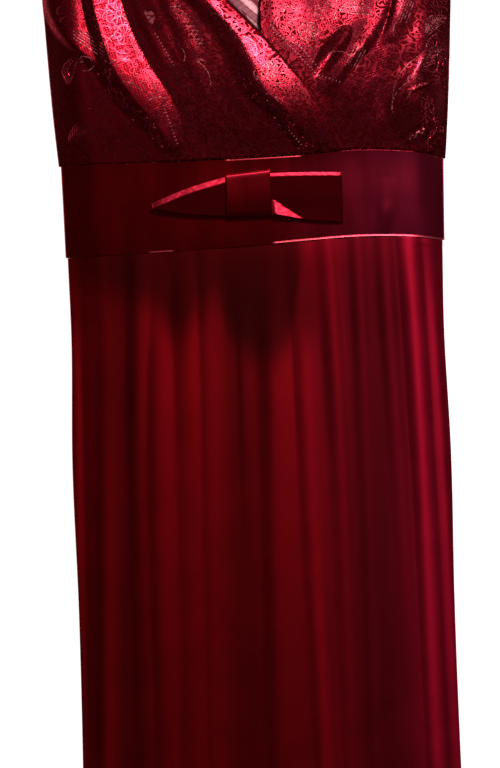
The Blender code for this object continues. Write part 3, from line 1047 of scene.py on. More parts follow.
def back_relief(x, y):
    """Soft creases of the back layer: they rise inward, so it still lies flat on the table."""
    below = BAND_SIDES["y"][0] - y
    gathers = 0.0
    for start, end, rise, wide, length in BACK_GATHERS:
        away = x / MM - mix(start, end, np.clip(below / -HEM, 0.0, 1.0))
        crest = soft_crest(np.clip(np.abs(away) / wide, 0.0, 1.0))
        fade = (1 - ease(below / MM / length)) * ease(below / GATHER_START)
        gathers = np.maximum(gathers, rise * MM * crest * fade)
    inside = ease((half_width(y) - np.abs(x)) / BACK_EDGE)
    return (gathers + fold_height(BACK_CREASES, x, y)) * inside


print("back gathers and creases:", len(BACK_GATHERS), len(BACK_CREASES))

# %% Back bodice and its lining
LINING_INSET = 0.018
LINING_FOLDS = [
    {
        "y": (90, 121, 159, 208, 260),
        "x": (38, 19, -15, -52, -80),
        "rise": (0, 0.9, 0.9, 0.6, 0),
        "left": (5, 5, 5, 6, 6),
        "right": (4, 4, 4, 5, 5),
    },
    {
        "y": (100, 125, 159, 208, 260),
        "x": (44, 27, -4, -36, -60),
        "rise": (0, 0.7, 0.9, 0.7, 0),
        "left": (9, 9, 9, 10, 10),
        "right": (2.5, 2.5, 2.5, 3, 3),
        "crease": "right",
    },
]


def back_bodice(inset, z, folds=()):
    def place(across, along):
        side = 2 * across - 1
        share = NECK_HALF_WIDTH / SHOULDER_HALF_WIDTH
        shoulder = SHOULDER - SHOULDER_DROP * (np.abs(side) - share) / (1 - share)
        neck = SHOULDER - BACK_NECK_DEPTH * (1 - (np.abs(side) / share) ** 3)
        top = np.where(np.abs(side) > share, shoulder, neck) - inset
        foot = seam(side * BODICE_SIDES["half_width"][0], "top") + SEAM_GAP / 2
        underarm = ARMHOLE["y"][0]
        y = np.where(along < 0.5, mix(foot, underarm, 2 * along), mix(underarm, top, 2 * along - 1))
        x = side * (half_width(np.maximum(y, 0.0)) - inset)
        return x, y, z + back_relief(x, y) + fold_height(folds, x, y)

    return place


back = cloth_shell("back_bodice_lace", 90, 70, back_bodice(0.0, 0.0))
lining = cloth_shell("back_lining", 180, 90, back_bodice(LINING_INSET, FRONT_EDGE, LINING_FOLDS))

# %% Back waistband and skirt
def band(is_front):
    def place(across, along):
        side = 2 * across - 1
        bottom = seam(side * BAND_SIDES["half_width"][0], "bottom") + SEAM_GAP / 2
        top = seam(side * BAND_SIDES["half_width"][-1], "top") - SEAM_GAP / 2
        y = mix(bottom, top, along)
        x = side * curve_through(BAND_SIDES["y"], BAND_SIDES["half_width"], y)
        if not is_front:
            return x, y, np.zeros_like(x)
        return x, y, *band_with_seams(x, y)

    return place


def skirt(is_front):
    def place(across, along):
        side = 2 * across - 1
        top = seam(side * SKIRT_SIDES["half_width"][-1], "bottom") - SEAM_GAP / 2
        y = mix(HEM, top, along)
        x = side * curve_through(SKIRT_SIDES["y"], SKIRT_SIDES["half_width"], y)
        return x, y, skirt_height(x, y) if is_front else back_relief(x, y)

    return place


band_back = cloth_shell("back_waistband", 80, 16, band(False))
skirt_back = cloth_shell("back_skirt", 150, 90, skirt(False))

# %% [markdown]
# ## Front of the bodice
#
# Two lace panels cross over the bust, and the wearer's right one lies on top. Each runs from a side seam to
# its own slanting neck edge. A boolean could cut that edge out of a plain sheet. Here the grid runs from
# the side to the edge row by row, so the points follow the edge and it stays smooth.

# %% Front lace panels
FOOT_FADE = 4


def front_bodice(neck, sign, height):
    """sign says which side seam the panel starts from: -1 is the left one and 1 the right one."""
    knots = np.linspace(0.0, 1.0, len(SIDE_ROWS))

    def place(across, along):
        share = across if sign < 0 else 1 - across
        side_y = curve_through(knots, SIDE_ROWS, along)
        side_x = sign * half_width(side_y)
        neck_x = curve_through(knots, neck["x"], along)
        neck_y = curve_through(knots, neck["y"], along)
        x = mix(side_x, neck_x, share)
        foot = (seam(x, "top") + SEAM_GAP / 2) * (1 - ease(along * FOOT_FADE))
        y = mix(side_y, neck_y, share) + foot
        return x, y, height(x, y)

    return place


under = cloth_shell("front_bodice_under", 200, 170, front_bodice(UNDER_NECK, 1, under_height))
over = cloth_shell("front_bodice_over", 210, 170, front_bodice(OVER_NECK, -1, over_height))

# %% [markdown]
# ## Waistband and skirt
#
# The band is a satin strip, and the skirt is a wide piece of jersey gathered into its lower seam. Rows of
# the grid crowd together where the cloth turns sharply: at both edges of the band and under it. Between the
# gathers little light gets in. That shade is written on the skirt's points, since the folds are too shallow
# to make it.

# %% Front waistband and front skirt
# rows of an even grid, and the places that they are moved to
BAND_CROWD = ((0, 0.12, 0.88, 1), (0, 0.035, 0.965, 1))
SKIRT_CROWD = ((0, 0.35, 0.7, 0.96, 1), (0, 0.47, 0.83, 0.996, 1))
band_front = cloth_shell("front_waistband", 220, 70, band(True), crowd=BAND_CROWD)
skirt_front = cloth_shell("front_skirt", 280, 145, skirt(True), crowd=SKIRT_CROWD)

# %% Painted light and shade of the front skirt
GATHER_SHADE = {
    "x": (-190, -150, -118, -98, -84, -72, -62, -52, -41, -26, -11, 9, 24, 34, 44, 54),
    "reach": (18, 40, 50, 60, 84, 80, 62, 58, 50, 88, 106, 112, 106, 80, 34, 0),
}
GATHER_DARK = 0.62
GATHER_BLUR = 0.050
GATHER_LEAST = 0.05


def gather_shade(x, y):
    """Painted shade in the gathers under the band, where the cloth gets less light."""
    reach = np.maximum(curve_through(np.array(GATHER_SHADE["x"]) * MM, GATHER_SHADE["reach"], x), 0.0) * MM
    below = BAND_SIDES["y"][0] - y
    past = ease((below - reach + GATHER_BLUR / 2) / GATHER_BLUR)
    return GATHER_DARK * (1 - past) * ease(reach / GATHER_LEAST)


spots = point_places(skirt_front[0].data)
across_skirt, along_gown = spots[:, 0], spots[:, 1] - WAIST
# the painted light of the folds and the painted shade of the gathers, written on the skirt's points
tone_and_painted_light = skirt_painted_light(across_skirt, along_gown) * (1 - gather_shade(across_skirt, along_gown))
point_attribute(skirt_front[0].data, "tone_and_painted_light", np.clip(tone_and_painted_light / MOST_PAINTED_LIGHT, 0.0, 1.0))
print("tone of the skirt from", round(float(tone_and_painted_light.min()), 2), "to", round(float(tone_and_painted_light.max()), 2))

# %% [markdown]
# ## Bow
#
# The bow is a flat satin strip folded into two loops, with a short strip wrapped round the middle. It could
# be one curve with a thick profile, but a loop has two layers and a rolled edge that glints. So each loop
# is a cloth shell whose section runs out along the lower layer and back along the upper one.

# %% Sizes of the bow
KNOT = {"left": -0.0270, "right": 0.0175, "top": -0.0160, "bottom": -0.0580, "rise": 0.0085}
KNOT_SECTION = {
    "along": (0.0, 0.10, 0.20, 0.34, 0.50, 0.66, 0.78, 0.87, 0.94, 1.0),
    "share": (0.0, -0.010, 0.03, 0.20, 0.45, 0.72, 0.925, 0.985, 1.01, 1.0),
    "height": (0.0, 0.45, 0.84, 0.97, 1.0, 0.98, 0.94, 0.865, 0.40, 0.0),
}
KNOT_EDGE_HIGHLIGHT = {"from": 0.925, "over": 0.02}
KNOT_TILT = 0.14
KNOT_LEVEL = 0.4
KNOT_SLANT = 0.002
LOOP_SECTION = {
    "along": (0.0, 0.20, 0.40, 0.50, 0.60, 0.80, 1.0),
    "reach": (-0.10, 0.45, 0.93, 1.0, 0.94, 0.50, -0.10),
}
RIGHT_LOOP = {
    "reach": (0.0, 0.50, 1.0),
    "x": (0.0175, 0.0530, 0.0880),
    "top": (-0.0170, -0.0170, -0.0180),
    "bottom": (-0.0575, -0.0640, -0.0670),
    "height": (0.0, 0.0, 0.04, 0.25, 0.44, 0.54, 0.62),
}
LEFT_LOOP = {
    "reach": (0.0, 0.50, 1.0),
    "x": (-0.0270, -0.0640, -0.1010),
    "top": (-0.0190, -0.0290, -0.0430),
    "bottom": (-0.0575, -0.0550, -0.0480),
    "height": (0.0, 0.0, 0.04, 0.45, 0.95, 0.80, 0.52),
}
LOOP_WALL = 0.0008
LOOP_LIFT = 0.0020
LOOP_PUFF = 0.0060
LOOP_SLOPE = 0.08
UPPER_LAYER = {"from": 0.45, "over": 0.10}
EDGE_SLOPE = 0.32
EDGE_STRIP = {"right": 0.0036, "left": 0.0060}
SHINE_START = 0.001
EDGE_CRUMPLE = {"rise": 0.00020, "across": 0.0024, "along": 0.0018}
TUCK = {"start": (0.0170, -0.0410), "end": (0.0430, -0.0590), "slope": 0.34, "most": 0.0110}
TUCK_START = 0.003
TUCK_SHINE = 0.0004
print("bow is", round(RIGHT_LOOP["x"][-1] - LEFT_LOOP["x"][-1], 3), "m wide")

# %% Bow loops and knot
def tuck_height(x, y):
    """A corner of the loop that the knot has pulled up."""
    (x0, y0), (x1, y1) = TUCK["start"], TUCK["end"]
    below = ((y0 - y) * (x1 - x0) - (x0 - x) * (y1 - y0)) / math.hypot(x1 - x0, y1 - y0)
    return TUCK["slope"] * np.clip(below, 0.0, TUCK["most"])


def bow_loop(loop, edge):
    def place(across, along):
        reach = curve_through(LOOP_SECTION["along"], LOOP_SECTION["reach"], along)
        height = curve_through(LOOP_SECTION["along"], loop["height"], along)
        right = loop["x"][0] > 0
        x = mix(loop["x"][0], loop["x"][-1], reach)
        top = curve_through(loop["reach"], loop["top"], reach)
        bottom = curve_through(loop["reach"], loop["bottom"], reach)
        share = across if right else 1 - across
        y = mix(bottom, top, share)
        upper_layer = ease((along - UPPER_LAYER["from"]) / UPPER_LAYER["over"])
        strip = np.maximum(edge - (top - y), 0.0)
        shape = LOOP_SLOPE * (y - bottom) - EDGE_SLOPE * strip
        # the top strip, and on the right loop the tuck, get a painted highlight where they face the lamp
        shine = ease(strip / SHINE_START)
        if right:
            tuck = tuck_height(x, y) * ease((x - KNOT["right"]) / TUCK_START)
            shape, shine = shape + tuck, shine + ease(tuck / TUCK_SHINE)
        crumple = unevenness(x, y, EDGE_CRUMPLE["across"], EDGE_CRUMPLE["along"], seed=8)
        shape = shape + EDGE_CRUMPLE["rise"] * shine * crumple
        z = band_height(x, y) + LOOP_LIFT + LOOP_PUFF * height + shape * upper_layer
        return x, y, z, shine * upper_layer

    return place


def knot(across, along):
    share = curve_through(KNOT_SECTION["along"], KNOT_SECTION["share"], along)
    height = curve_through(KNOT_SECTION["along"], KNOT_SECTION["height"], along)
    x = mix(KNOT["left"], KNOT["right"], across)
    y = mix(KNOT["bottom"], KNOT["top"], share) + KNOT_SLANT * (across - 0.5) * 2 * ease(share)
    height = height * (1 + KNOT_TILT * (KNOT_LEVEL - across))
    z = band_height(x, y) + WALL + SEAM_GAP + KNOT["rise"] * height
    # the fourth value paints a highlight along the knot's top edge
    return x, y, z, ease((share - KNOT_EDGE_HIGHLIGHT["from"]) / KNOT_EDGE_HIGHLIGHT["over"])


loop_right = cloth_shell("bow_right_loop", 90, 110, bow_loop(RIGHT_LOOP, EDGE_STRIP["right"]), wall=LOOP_WALL)
loop_left = cloth_shell("bow_left_loop", 90, 110, bow_loop(LEFT_LOOP, EDGE_STRIP["left"]), wall=LOOP_WALL)
bow_knot = cloth_shell("bow_middle", 40, 80, knot)

# %% [markdown]
# ## Lace cords
#
# Corded lace has a thick thread sewn around its flowers and leaves. Bump alone would leave them flat at a
# low angle, so the larger ones are real cords. Each motif is a few lines drawn flat. The lines are cut off
# at the panel's edges, given a low section, and laid on the panel's surface.

# %% Motifs
def ring(radius, points=24):
    turn = np.linspace(0, 2 * np.pi, points + 1)
    return np.stack([radius * np.cos(turn), radius * np.sin(turn)], axis=-1)


def flower(size, petals=6, strokes=2):
    turn = np.linspace(0, 2 * np.pi, petals * 8 + 1)
    rim = size * (0.76 + 0.24 * np.abs(np.sin(petals * turn / 2)) ** 0.8)
    lines = [np.stack([rim * np.cos(turn), rim * np.sin(turn)], axis=-1), ring(0.2 * size, 10)]
    for stroke in range(petals * strokes):
        angle = 2 * np.pi * (stroke + 0.5) / (petals * strokes)
        tip = 0.88 * np.interp(angle, turn, rim)
        reach = np.linspace(0.30 * size, tip, 4)
        lines.append(np.stack([reach * np.cos(angle), reach * np.sin(angle)], axis=-1))
    return lines


def leaf(size, stripes=9, width=0.42, bend=0.16):
    along = np.linspace(0, 1, 19)
    spine = bend * np.sin(np.pi * along)
    edge = width / 2 * np.sin(np.pi * along) ** 0.7
    scallop = 1 + 0.10 * np.abs(np.sin(4 * np.pi * along))
    lines = [
        size * np.stack([along, spine + edge * scallop], axis=-1),
        size * np.stack([along, spine - edge * scallop], axis=-1),
        size * np.stack([along, spine], axis=-1),
    ]
    for stripe in range(stripes):
        start = 0.10 + 0.75 * stripe / stripes
        for side in (-1, 1):
            foot = np.array([start, np.interp(start, along, spine)])
            end = min(start + 0.09, 0.95)
            tip = np.array([end, np.interp(end, along, spine + side * edge * 0.86)])
            lines.append(size * np.linspace(foot, tip, 3))
    return [line - [size / 2, 0] for line in lines]


print("lines in a flower:", len(flower(0.012)), "and in a leaf:", len(leaf(0.030)))

# %% Scrolls, vines and beads
def scroll(size, turns=1.3):
    turn = np.linspace(0, 2 * np.pi * turns, 26)
    radius = 0.36 * size * np.exp(-0.22 * turn)
    curl = np.stack([radius * np.cos(turn), radius * np.sin(turn)], axis=-1)
    tail_at = np.linspace(1, 0, 8)[:, None]
    bend = 0.12 * size * np.sin(np.pi * tail_at) * [1.0, 0.2]
    tail = curl[0] + tail_at * [0.15 * size, -0.6 * size] + bend
    return [np.concatenate([tail, curl[1:]])]


def vine(size, waves=2.5):
    along = np.linspace(-0.5, 0.5, 44)
    wave = np.sin(2 * np.pi * waves * along)
    lines = [size * np.stack([along, 0.07 * wave], axis=-1)]
    for step in np.linspace(-0.45, 0.45, int(waves * 4)):
        foot = np.array([step, 0.07 * np.sin(2 * np.pi * waves * step)])
        side = 1 if math.sin(2 * np.pi * waves * step) > 0 else -1
        bend = np.linspace(0, 1, 7)[:, None]
        lines.append(size * (foot + bend * [0.05, 0.12 * side] + 0.03 * np.sin(np.pi * bend) * [-1, 0]))
    return lines


def beads(size, step=0.0036, bead=0.0010):
    starts = np.arange(-0.5 * size, 0.5 * size, step)
    return [np.array([[start, 0.0], [start + bead, 0.0]]) for start in starts]


print("lines in a vine:", len(vine(0.050)), "and in a row of beads:", len(beads(0.050)))

# %% Arcs, stripes and lattices
def arc(size, bend=0.16):
    along = np.linspace(-0.5, 0.5, 9)
    return [size * np.stack([along, bend * (1 - 4 * along * along)], axis=-1)]


def stripes(size, count=5, step=0.0027):
    along = np.linspace(-0.5, 0.5, 9)
    lines = []
    for number in range(count):
        reach = size * (1 - 0.12 * abs(number - count // 2))
        across = step * (number - count / 2) + 0.03 * size * np.sin(3 * along)
        lines.append(np.stack([reach * along, across], axis=-1))
    return lines


def lattice(size, wide=0.0085, step=0.0085):
    count = max(int(size / step), 2)
    along = np.linspace(-0.5 * size, 0.5 * size, 2 * count + 1)
    swing = 0.5 * wide * np.where(np.arange(2 * count + 1) % 2 == 0, -1, 1)
    bend = 0.04 * size * np.cos(np.pi * along / size)
    return [np.stack([along, bend + swing], axis=-1), np.stack([along, bend - swing], axis=-1)]


MOTIFS = {
    "flower": flower, "leaf": leaf, "scroll": scroll, "vine": vine, "beads": beads,
    "arc": arc, "stripes": stripes, "lattice": lattice,
}
print("kinds of motif:", ", ".join(MOTIFS))

# %% [markdown]
# ## Where the motifs lie
#
# A maker pins each motif by hand, so their places are a list: kind, x and y in millimetres from the middle
# of the waist seam, size in millimetres, and turn in degrees. Small sprigs fill the net between them. Under
# the shoulders, where little is seen, a loop repeats a few of them.

# %% Motifs of the over panel
OVER_LACE = [
    ("flower", 26, 82, 13, 10), ("flower", -18, 126, 12, 30), ("leaf", -2, 108, 26, -42),
    ("vine", 20, 50, 60, -60), ("flower", 44, 62, 11, 20), ("flower", 6, 98, 10, 0),
    ("leaf", -34, 142, 24, -50), ("flower", 14, 64, 12, 40), ("scroll", 52, 60, 16, 120),
    ("leaf", -52, 132, 26, -70), ("vine", -64, 110, 80, -68), ("scroll", -50, 82, 14, 200),
    ("leaf", -112, 112, 30, -68), ("flower", -128, 148, 14, 0), ("flower", -122, 126, 11, 30),
    ("leaf", -100, 80, 24, -60), ("scroll", -100, 78, 16, 30), ("leaf", -154, 116, 36, -38),
    ("scroll", -86, 60, 15, 160), ("flower", -94, 40, 9, 0), ("flower", -176, 150, 14, 20),
    ("vine", -150, 84, 70, -30), ("flower", -152, 60, 14, 40), ("leaf", -176, 92, 28, 70),
    ("scroll", -120, 40, 18, 80), ("leaf", -168, 28, 32, 20), ("vine", -110, 22, 70, 6),
    ("flower", -62, 34, 13, 15), ("leaf", -20, 56, 30, -50), ("scroll", -34, 20, 18, -30),
    ("vine", 8, 16, 60, 8), ("leaf", 62, 14, 28, 30), ("scroll", -88, 132, 15, 60),
    ("scroll", -150, 146, 15, 240), ("flower", -8, 76, 12, 10), ("leaf", -76, 84, 26, -64),
]
OVER_TRIM = [
    ("stripes", -158, 121, 38, -41), ("scroll", -166, 102, 12, 40), ("arc", -160, 94, 12, 200),
    ("arc", -170, 99, 9, 30), ("arc", -129, 98, 20, 10), ("arc", -117, 73, 20, -30),
    ("arc", -92, 59, 20, 5), ("arc", -138, 118, 18, 60), ("arc", -128, 142, 16, 20),
    ("leaf", -99, 143, 16, -62), ("lattice", -60, 133, 50, -58), ("arc", -46, 85, 28, -60),
    ("flower", 20, 84, 9, 0), ("arc", 22, 57, 14, -35), ("lattice", 32, 35, 22, -62),
    ("arc", 38, 76, 18, -46), ("arc", 2, 112, 20, -50), ("arc", -66, 104, 14, -80),
    ("scroll", -50, 96, 9, 30), ("arc", 8, 100, 12, 40), ("arc", -30, 140, 14, -30),
    ("scroll", -16, 128, 9, 80), ("arc", 30, 70, 12, 10), ("scroll", 8, 78, 9, 160),
]
OVER_BEADS = [("beads", -80, 34, 42, -72), ("beads", -84, 110, 36, -62), ("beads", 43, 18, 18, -50)]
print("motifs of the over panel:", len(OVER_LACE), "with trim:", len(OVER_TRIM))

# %% Motifs of the under panel
UNDER_LACE = [
    ("flower", 25, 148, 12, 0), ("flower", 30, 124, 12, 25), ("flower", 52, 140, 13, 10),
    ("flower", 50, 116, 11, 30), ("flower", 78, 148, 12, 20), ("leaf", 102, 146, 36, -12),
    ("scroll", 74, 118, 16, 80), ("vine", 84, 104, 52, 24), ("leaf", 40, 106, 22, -30),
    ("flower", 62, 98, 10, 40), ("leaf", 96, 84, 30, 52), ("scroll", 120, 118, 16, 20),
    ("vine", 92, 128, 60, -24), ("scroll", 38, 138, 12, 20), ("scroll", 64, 128, 12, 200),
    ("leaf", 66, 152, 20, 30), ("leaf", 158, 140, 36, 62), ("flower", 186, 100, 13, 0),
    ("leaf", 180, 92, 30, 60), ("vine", 168, 74, 60, 30), ("scroll", 146, 96, 16, 140),
    ("flower", 132, 62, 13, 20), ("scroll", 180, 52, 16, 60), ("leaf", 112, 124, 22, 60),
    ("leaf", 158, 26, 34, 32), ("vine", 150, 10, 66, 4), ("flower", 112, 36, 13, 0),
    ("scroll", 104, 58, 15, 250), ("scroll", 188, 22, 15, 10), ("leaf", 126, 150, 26, 80),
    ("flower", 188, 156, 13, 0), ("flower", 172, 40, 12, 0),
]
UNDER_TRIM = [
    ("leaf", 108, 142, 32, -8), ("vine", 78, 148, 28, 20), ("arc", 90, 99, 22, -10),
    ("leaf", 188, 126, 28, 42), ("arc", 156, 68, 64, 63), ("stripes", 178, 93, 18, 15),
    ("vine", 165, 18, 18, 25), ("arc", 46, 132, 22, 30), ("stripes", 156, 142, 28, 62),
    ("arc", 62, 112, 18, 120), ("stripes", 106, 98, 26, 56), ("arc", 168, 60, 30, 32),
    ("flower", 60, 124, 10, 20), ("scroll", 36, 146, 10, 60), ("arc", 28, 132, 14, 70),
    ("scroll", 50, 148, 9, 200), ("arc", 70, 138, 16, -40), ("scroll", 88, 136, 9, 120),
    ("arc", 182, 108, 22, 60), ("arc", 148, 124, 18, 70), ("arc", 150, 56, 34, 56),
    ("arc", 176, 86, 34, 40), ("scroll", 160, 72, 12, 40), ("leaf", 186, 98, 18, 36),
]
UNDER_BEADS = [
    ("beads", 46, 104, 72, -49), ("beads", 52, 108, 56, -52),
    ("beads", 80, 75, 24, -20), ("beads", 38, 116, 30, -30),
]
print("motifs of the under panel:", len(UNDER_LACE), "with trim:", len(UNDER_TRIM))

# %% Sprigs and hidden motifs
SPRIG_SPACING = 10.0
SCROLL_SHARE = 0.3
SPRIG_SIZES = (7, 13)
SPRIG_SHIFT = 0.4
OVER_SPRIGS = {"left": -150, "right": 95, "bottom": 3, "top": 372, "seed": 21}
UNDER_SPRIGS = {"left": 10, "right": 205, "bottom": 3, "top": 372, "seed": 22}
HIDDEN_ROWS = 6
HIDDEN_START = 180
HIDDEN_SPACING = 36


def sprinkled(left, right, bottom, top, seed):
    """Small sprigs between the larger motifs."""
    chance = np.random.default_rng(seed)
    rows = []
    for x in np.arange(left, right, SPRIG_SPACING):
        for y in np.arange(bottom, top, SPRIG_SPACING):
            kind = "scroll" if chance.random() < SCROLL_SHARE else "arc"
            shift = chance.uniform(-SPRIG_SHIFT, SPRIG_SHIFT, 2) * SPRIG_SPACING
            size, turn = chance.uniform(*SPRIG_SIZES), chance.uniform(0, 360)
            rows.append((kind, x + shift[0], y + shift[1], size, turn))
    return rows


def hidden_lace(sign):
    """The same motifs, repeated up to the shoulder."""
    rows = []
    for step in range(HIDDEN_ROWS):
        y = HIDDEN_START + HIDDEN_SPACING * step
        rows += [
            ("flower", sign * (176 - 6 * step), y, 16, 20 * step),
            ("leaf", sign * (140 - 4 * step), y + 14, 38, sign * 60),
            ("vine", sign * (110 - 2 * step), y, 80, sign * 65),
            ("flower", sign * (84 - 2 * step), y + 18, 15, 40 * step),
            ("scroll", sign * (150 - 4 * step), y + 30, 20, 50 * step),
        ]
    return rows


over_rows = OVER_LACE + hidden_lace(-1) + sprinkled(**OVER_SPRIGS)
under_rows = UNDER_LACE + hidden_lace(1) + sprinkled(**UNDER_SPRIGS)
print("motifs and sprigs:", len(over_rows), "over and", len(under_rows), "under")

# %% Where a cord may lie
SIDE_MARGIN = 0.003
END_MARGIN = 0.002
NECK_MARGIN = 0.0015
UNDER_MARGIN = 0.001
# above these heights the V opens, and the under panel shows up to its own neck edge
V_START = {"y": 0.121, "x": 0.014}
V_EDGE = 0.124


def shoulder_y(x):
    share = (np.abs(x) - NECK_HALF_WIDTH) / (SHOULDER_HALF_WIDTH - NECK_HALF_WIDTH)
    return SHOULDER - SHOULDER_DROP * np.clip(share, 0.0, 1.0)


def between_ends(x, y):
    return (y > seam(x, "top") + END_MARGIN) & (y < shoulder_y(x) - END_MARGIN)


def inside_over(x, y):
    return (x > -half_width(y) + SIDE_MARGIN) & (x < neck_line(y) - NECK_MARGIN) & between_ends(x, y)


def inside_under(x, y):
    left = np.maximum(neck_line(y) + UNDER_MARGIN, np.where(y > V_START["y"], V_START["x"], -1.0))
    upper = curve_through(UNDER_NECK["y"], UNDER_NECK["x"], y) + NECK_MARGIN
    left = np.where(y > V_EDGE, np.maximum(left, upper), left)
    return (x > left) & (x < half_width(y) - SIDE_MARGIN) & between_ends(x, y)


for spot in ((-0.10, 0.08), (0.02, 0.15)):
    print("over panel's cords reach", spot, bool(inside_over(*spot)))

# %% Cord sections and lines
FLAT_CORD = {"foot": 0.0016, "top": 0.0007, "rise": 0.00024, "sink": 0.00004}
TRIM_CORD = {"foot": 0.0013, "top": 0.0005, "rise": 0.00020, "sink": 0.00004}
BEAD_CORD = {"foot": 0.0020, "top": 0.0006, "rise": 0.00030, "sink": 0.00004}


def motif_lines(rows):
    """Every line of every motif, turned and moved to its place."""
    for kind, x, y, size, turn in rows:
        spin = math.radians(turn)
        matrix = np.array([[math.cos(spin), math.sin(spin)], [-math.sin(spin), math.cos(spin)]])
        for line in MOTIFS[kind](size * MM):
            yield line @ matrix + [x * MM, y * MM]


def cord_section(cord_kind):
    """A cord is sewn down, so its top is flattened."""
    curve = bpy.data.curves.new("cord_section", "CURVE")
    curve.dimensions = "2D"
    spline = curve.splines.new("POLY")
    spline.use_cyclic_u = True
    spline.points.add(3)
    low, high, foot, top = -cord_kind["sink"], cord_kind["rise"], cord_kind["foot"] / 2, cord_kind["top"] / 2
    for point, (across, up) in zip(spline.points, ((-foot, low), (-top, high), (top, high), (foot, low))):
        point.co = (across, up, 0, 1)
    return add_object("cord_section", curve)


print("height of a cord over the lace:", FLAT_CORD["rise"], "m")

# %% Laying the cords
def draw_lines(curve, rows, inside):
    """Every motif line as a flat poly spline, cut off where it would leave its panel."""
    lines = list(motif_lines(rows))
    x, y = np.concatenate(lines).T
    owner = np.repeat(np.arange(len(lines)), [len(line) for line in lines])
    keep = inside(x, y)
    corners = np.stack([x, y, np.zeros_like(x), np.ones_like(x)], axis=-1)
    breaks = np.flatnonzero((np.diff(owner) != 0) | (keep[1:] != keep[:-1])) + 1
    for run in np.split(np.arange(len(x)), breaks):
        if len(run) > 1 and keep[run[0]]:
            spline = curve.splines.new("POLY")
            spline.points.add(len(run) - 1)
            spline.points.foreach_set("co", corners[run].ravel())


def lay_cords(name, rows, height, inside, cord_kind, material):
    """Draws every motif line flat as a cord, then lays the cords on a surface."""
    section = cord_section(cord_kind)
    curve = bpy.data.curves.new(name, "CURVE")
    curve.dimensions = "3D"
    curve.twist_mode = "Z_UP"
    curve.bevel_mode = "OBJECT"
    curve.bevel_object = section
    curve.use_fill_caps = True
    draw_lines(curve, rows, inside)
    holder = add_object(name, curve)
    bpy.context.view_layer.update()
    mesh = bpy.data.meshes.new_from_object(holder.evaluated_get(bpy.context.evaluated_depsgraph_get()))
    mesh.name = name
    bpy.data.objects.remove(holder, do_unlink=True)
    bpy.data.objects.remove(section, do_unlink=True)
    spots = point_places(mesh)
    spots[:, 2] += height(spots[:, 0], spots[:, 1]) + WALL
    spots[:, 1] += WAIST
    mesh.vertices.foreach_set("co", spots.ravel())
    piece = add_object(name, mesh)
    mesh.shade_flat()
    piece.data.materials.append(material)
    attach(piece, "root")
    mesh.calc_loop_triangles()
    print(name, "triangles:", len(mesh.loop_triangles))
    return piece


over_cords = lay_cords("over_panel_cords", over_rows, over_height, inside_over, FLAT_CORD, cord)
under_cords = lay_cords("under_panel_cords", under_rows, under_height, inside_under, FLAT_CORD, cord)
over_trim = lay_cords("over_panel_trim", OVER_TRIM, over_height, inside_over, TRIM_CORD, trim)
under_trim = lay_cords("under_panel_trim", UNDER_TRIM, under_height, inside_under, TRIM_CORD, trim)
over_beads = lay_cords("over_panel_beads", OVER_BEADS, over_height, inside_over, BEAD_CORD, beading)
under_beads = lay_cords("under_panel_beads", UNDER_BEADS, under_height, inside_under, BEAD_CORD, beading)

# %% [markdown]
# ## What each piece stands for
#
# Each cloth takes the place of one solid of the construction model. It gets its material and is parented to
# the root, the solid is hidden, and its slot, area and how it is held are printed. The cords and beads, sewn
# to the lace panels, are parented to the root as well.

def declare(made, node, slot, material, held="laid"):
    piece, size, area = made
    piece.data.materials.append(material)
    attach(piece, "root")
    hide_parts(node)
    print(f"{piece.name} stands for {node}, {slot}, {area:.3f} square metres, {held}")
    return piece


declare(back, "bodice_back", "lace", lace)
declare(lining, "bodice_back_lining", "lining", rose)
declare(band_back, "waistband_back", "satin", satin)
declare(skirt_back, "skirt_back", "jersey", jersey)
declare(under, "bodice_front_under", "lace", lace)
declare(over, "bodice_front_over", "lace", lace)
declare(band_front, "waistband_front", "satin", satin)
declare(skirt_front, "skirt_front", "jersey", front_jersey, held="gathered")
declare(loop_right, "bow_loop_right", "satin", bow_satin, held="folded")
declare(loop_left, "bow_loop_left", "satin", bow_satin, held="folded")
declare(bow_knot, "bow_knot", "satin", bow_satin, held="folded")

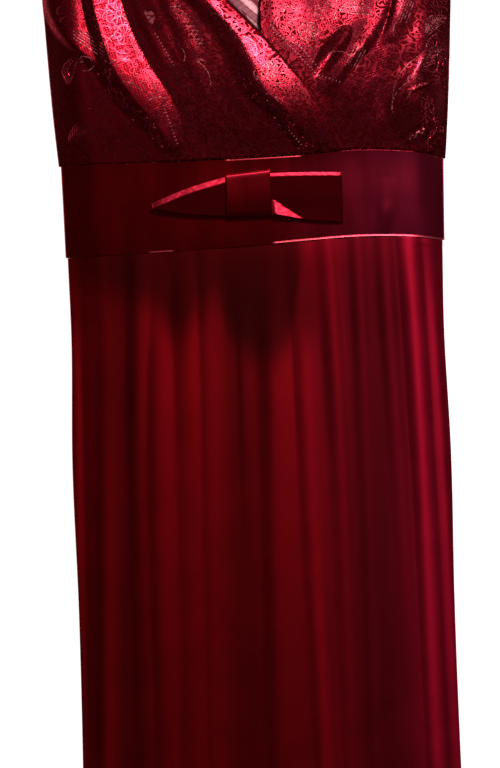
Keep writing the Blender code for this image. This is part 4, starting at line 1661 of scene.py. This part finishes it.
# %% [markdown]
# ## Floor, light and camera
#
# The gown lies on a plain pale surface. One round lamp stands beyond the shoulders, a little to the right.
# It rakes over the cloth, so the sides of the folds that face it shine and the rest stays deep red. A wide,
# even light would flatten them.

# %% Floor
FLOOR_HALF = 4.0
FLOOR_DROP = 0.0005
floor_mesh = flat_grid("floor", 1, 1, FLOOR_HALF)
floor_mesh.transform(Matrix.Translation((0, 0, -FLOOR_DROP)))
floor = add_object("floor", floor_mesh)
floor_material, _, shader = new_material("pale_floor", (0.9, 0.9, 0.9), roughness=0.9, metallic=0.0)
shader.inputs["Emission Color"].default_value = (1, 1, 1, 1)
shader.inputs["Emission Strength"].default_value = 1.0
floor.data.materials.append(floor_material)
print("floor:", 2 * FLOOR_HALF, "m wide")

# %% Light
KEY = {"place": (0.35, 1.25, 1.40), "aim": (0.0, 0.25, 0.0), "size": 0.30, "power": 11}
WORLD_LIGHT = 0.05
lamp = bpy.data.lights.new("key", "AREA")
lamp.shape = "DISK"
lamp.size = KEY["size"]
lamp.energy = KEY["power"]
key = add_object("key", lamp)
key.location = KEY["place"]
key.rotation_euler = (Vector(KEY["aim"]) - Vector(KEY["place"])).to_track_quat("-Z", "Y").to_euler()
world = bpy.data.worlds.new("studio")
world.use_nodes = True
world.node_tree.nodes["Background"].inputs["Color"].default_value = (1, 1, 1, 1)
world.node_tree.nodes["Background"].inputs["Strength"].default_value = WORLD_LIGHT
bpy.context.scene.world = world
print("lamp at", KEY["place"], "with", KEY["power"], "watts")

# %% Camera
VIEW_HEIGHT = 0.768
VIEW_MIDDLE = (-0.0095, WAIST - 0.2259)
VIEW_LEVEL = 0.010
GOWN_LEAN = 0.0326
camera_data = bpy.data.cameras.new("camera")
camera_data.lens = 85
camera_data.sensor_width = 36
camera = add_object("camera", camera_data)
camera.location = (*VIEW_MIDDLE, VIEW_LEVEL + VIEW_HEIGHT * camera_data.lens / camera_data.sensor_width)
camera.rotation_euler = (0, 0, -math.atan(GOWN_LEAN))
bpy.context.scene.camera = camera
bpy.context.scene.view_settings.view_transform = "Standard"
print("camera height:", round(camera.location.z, 3))
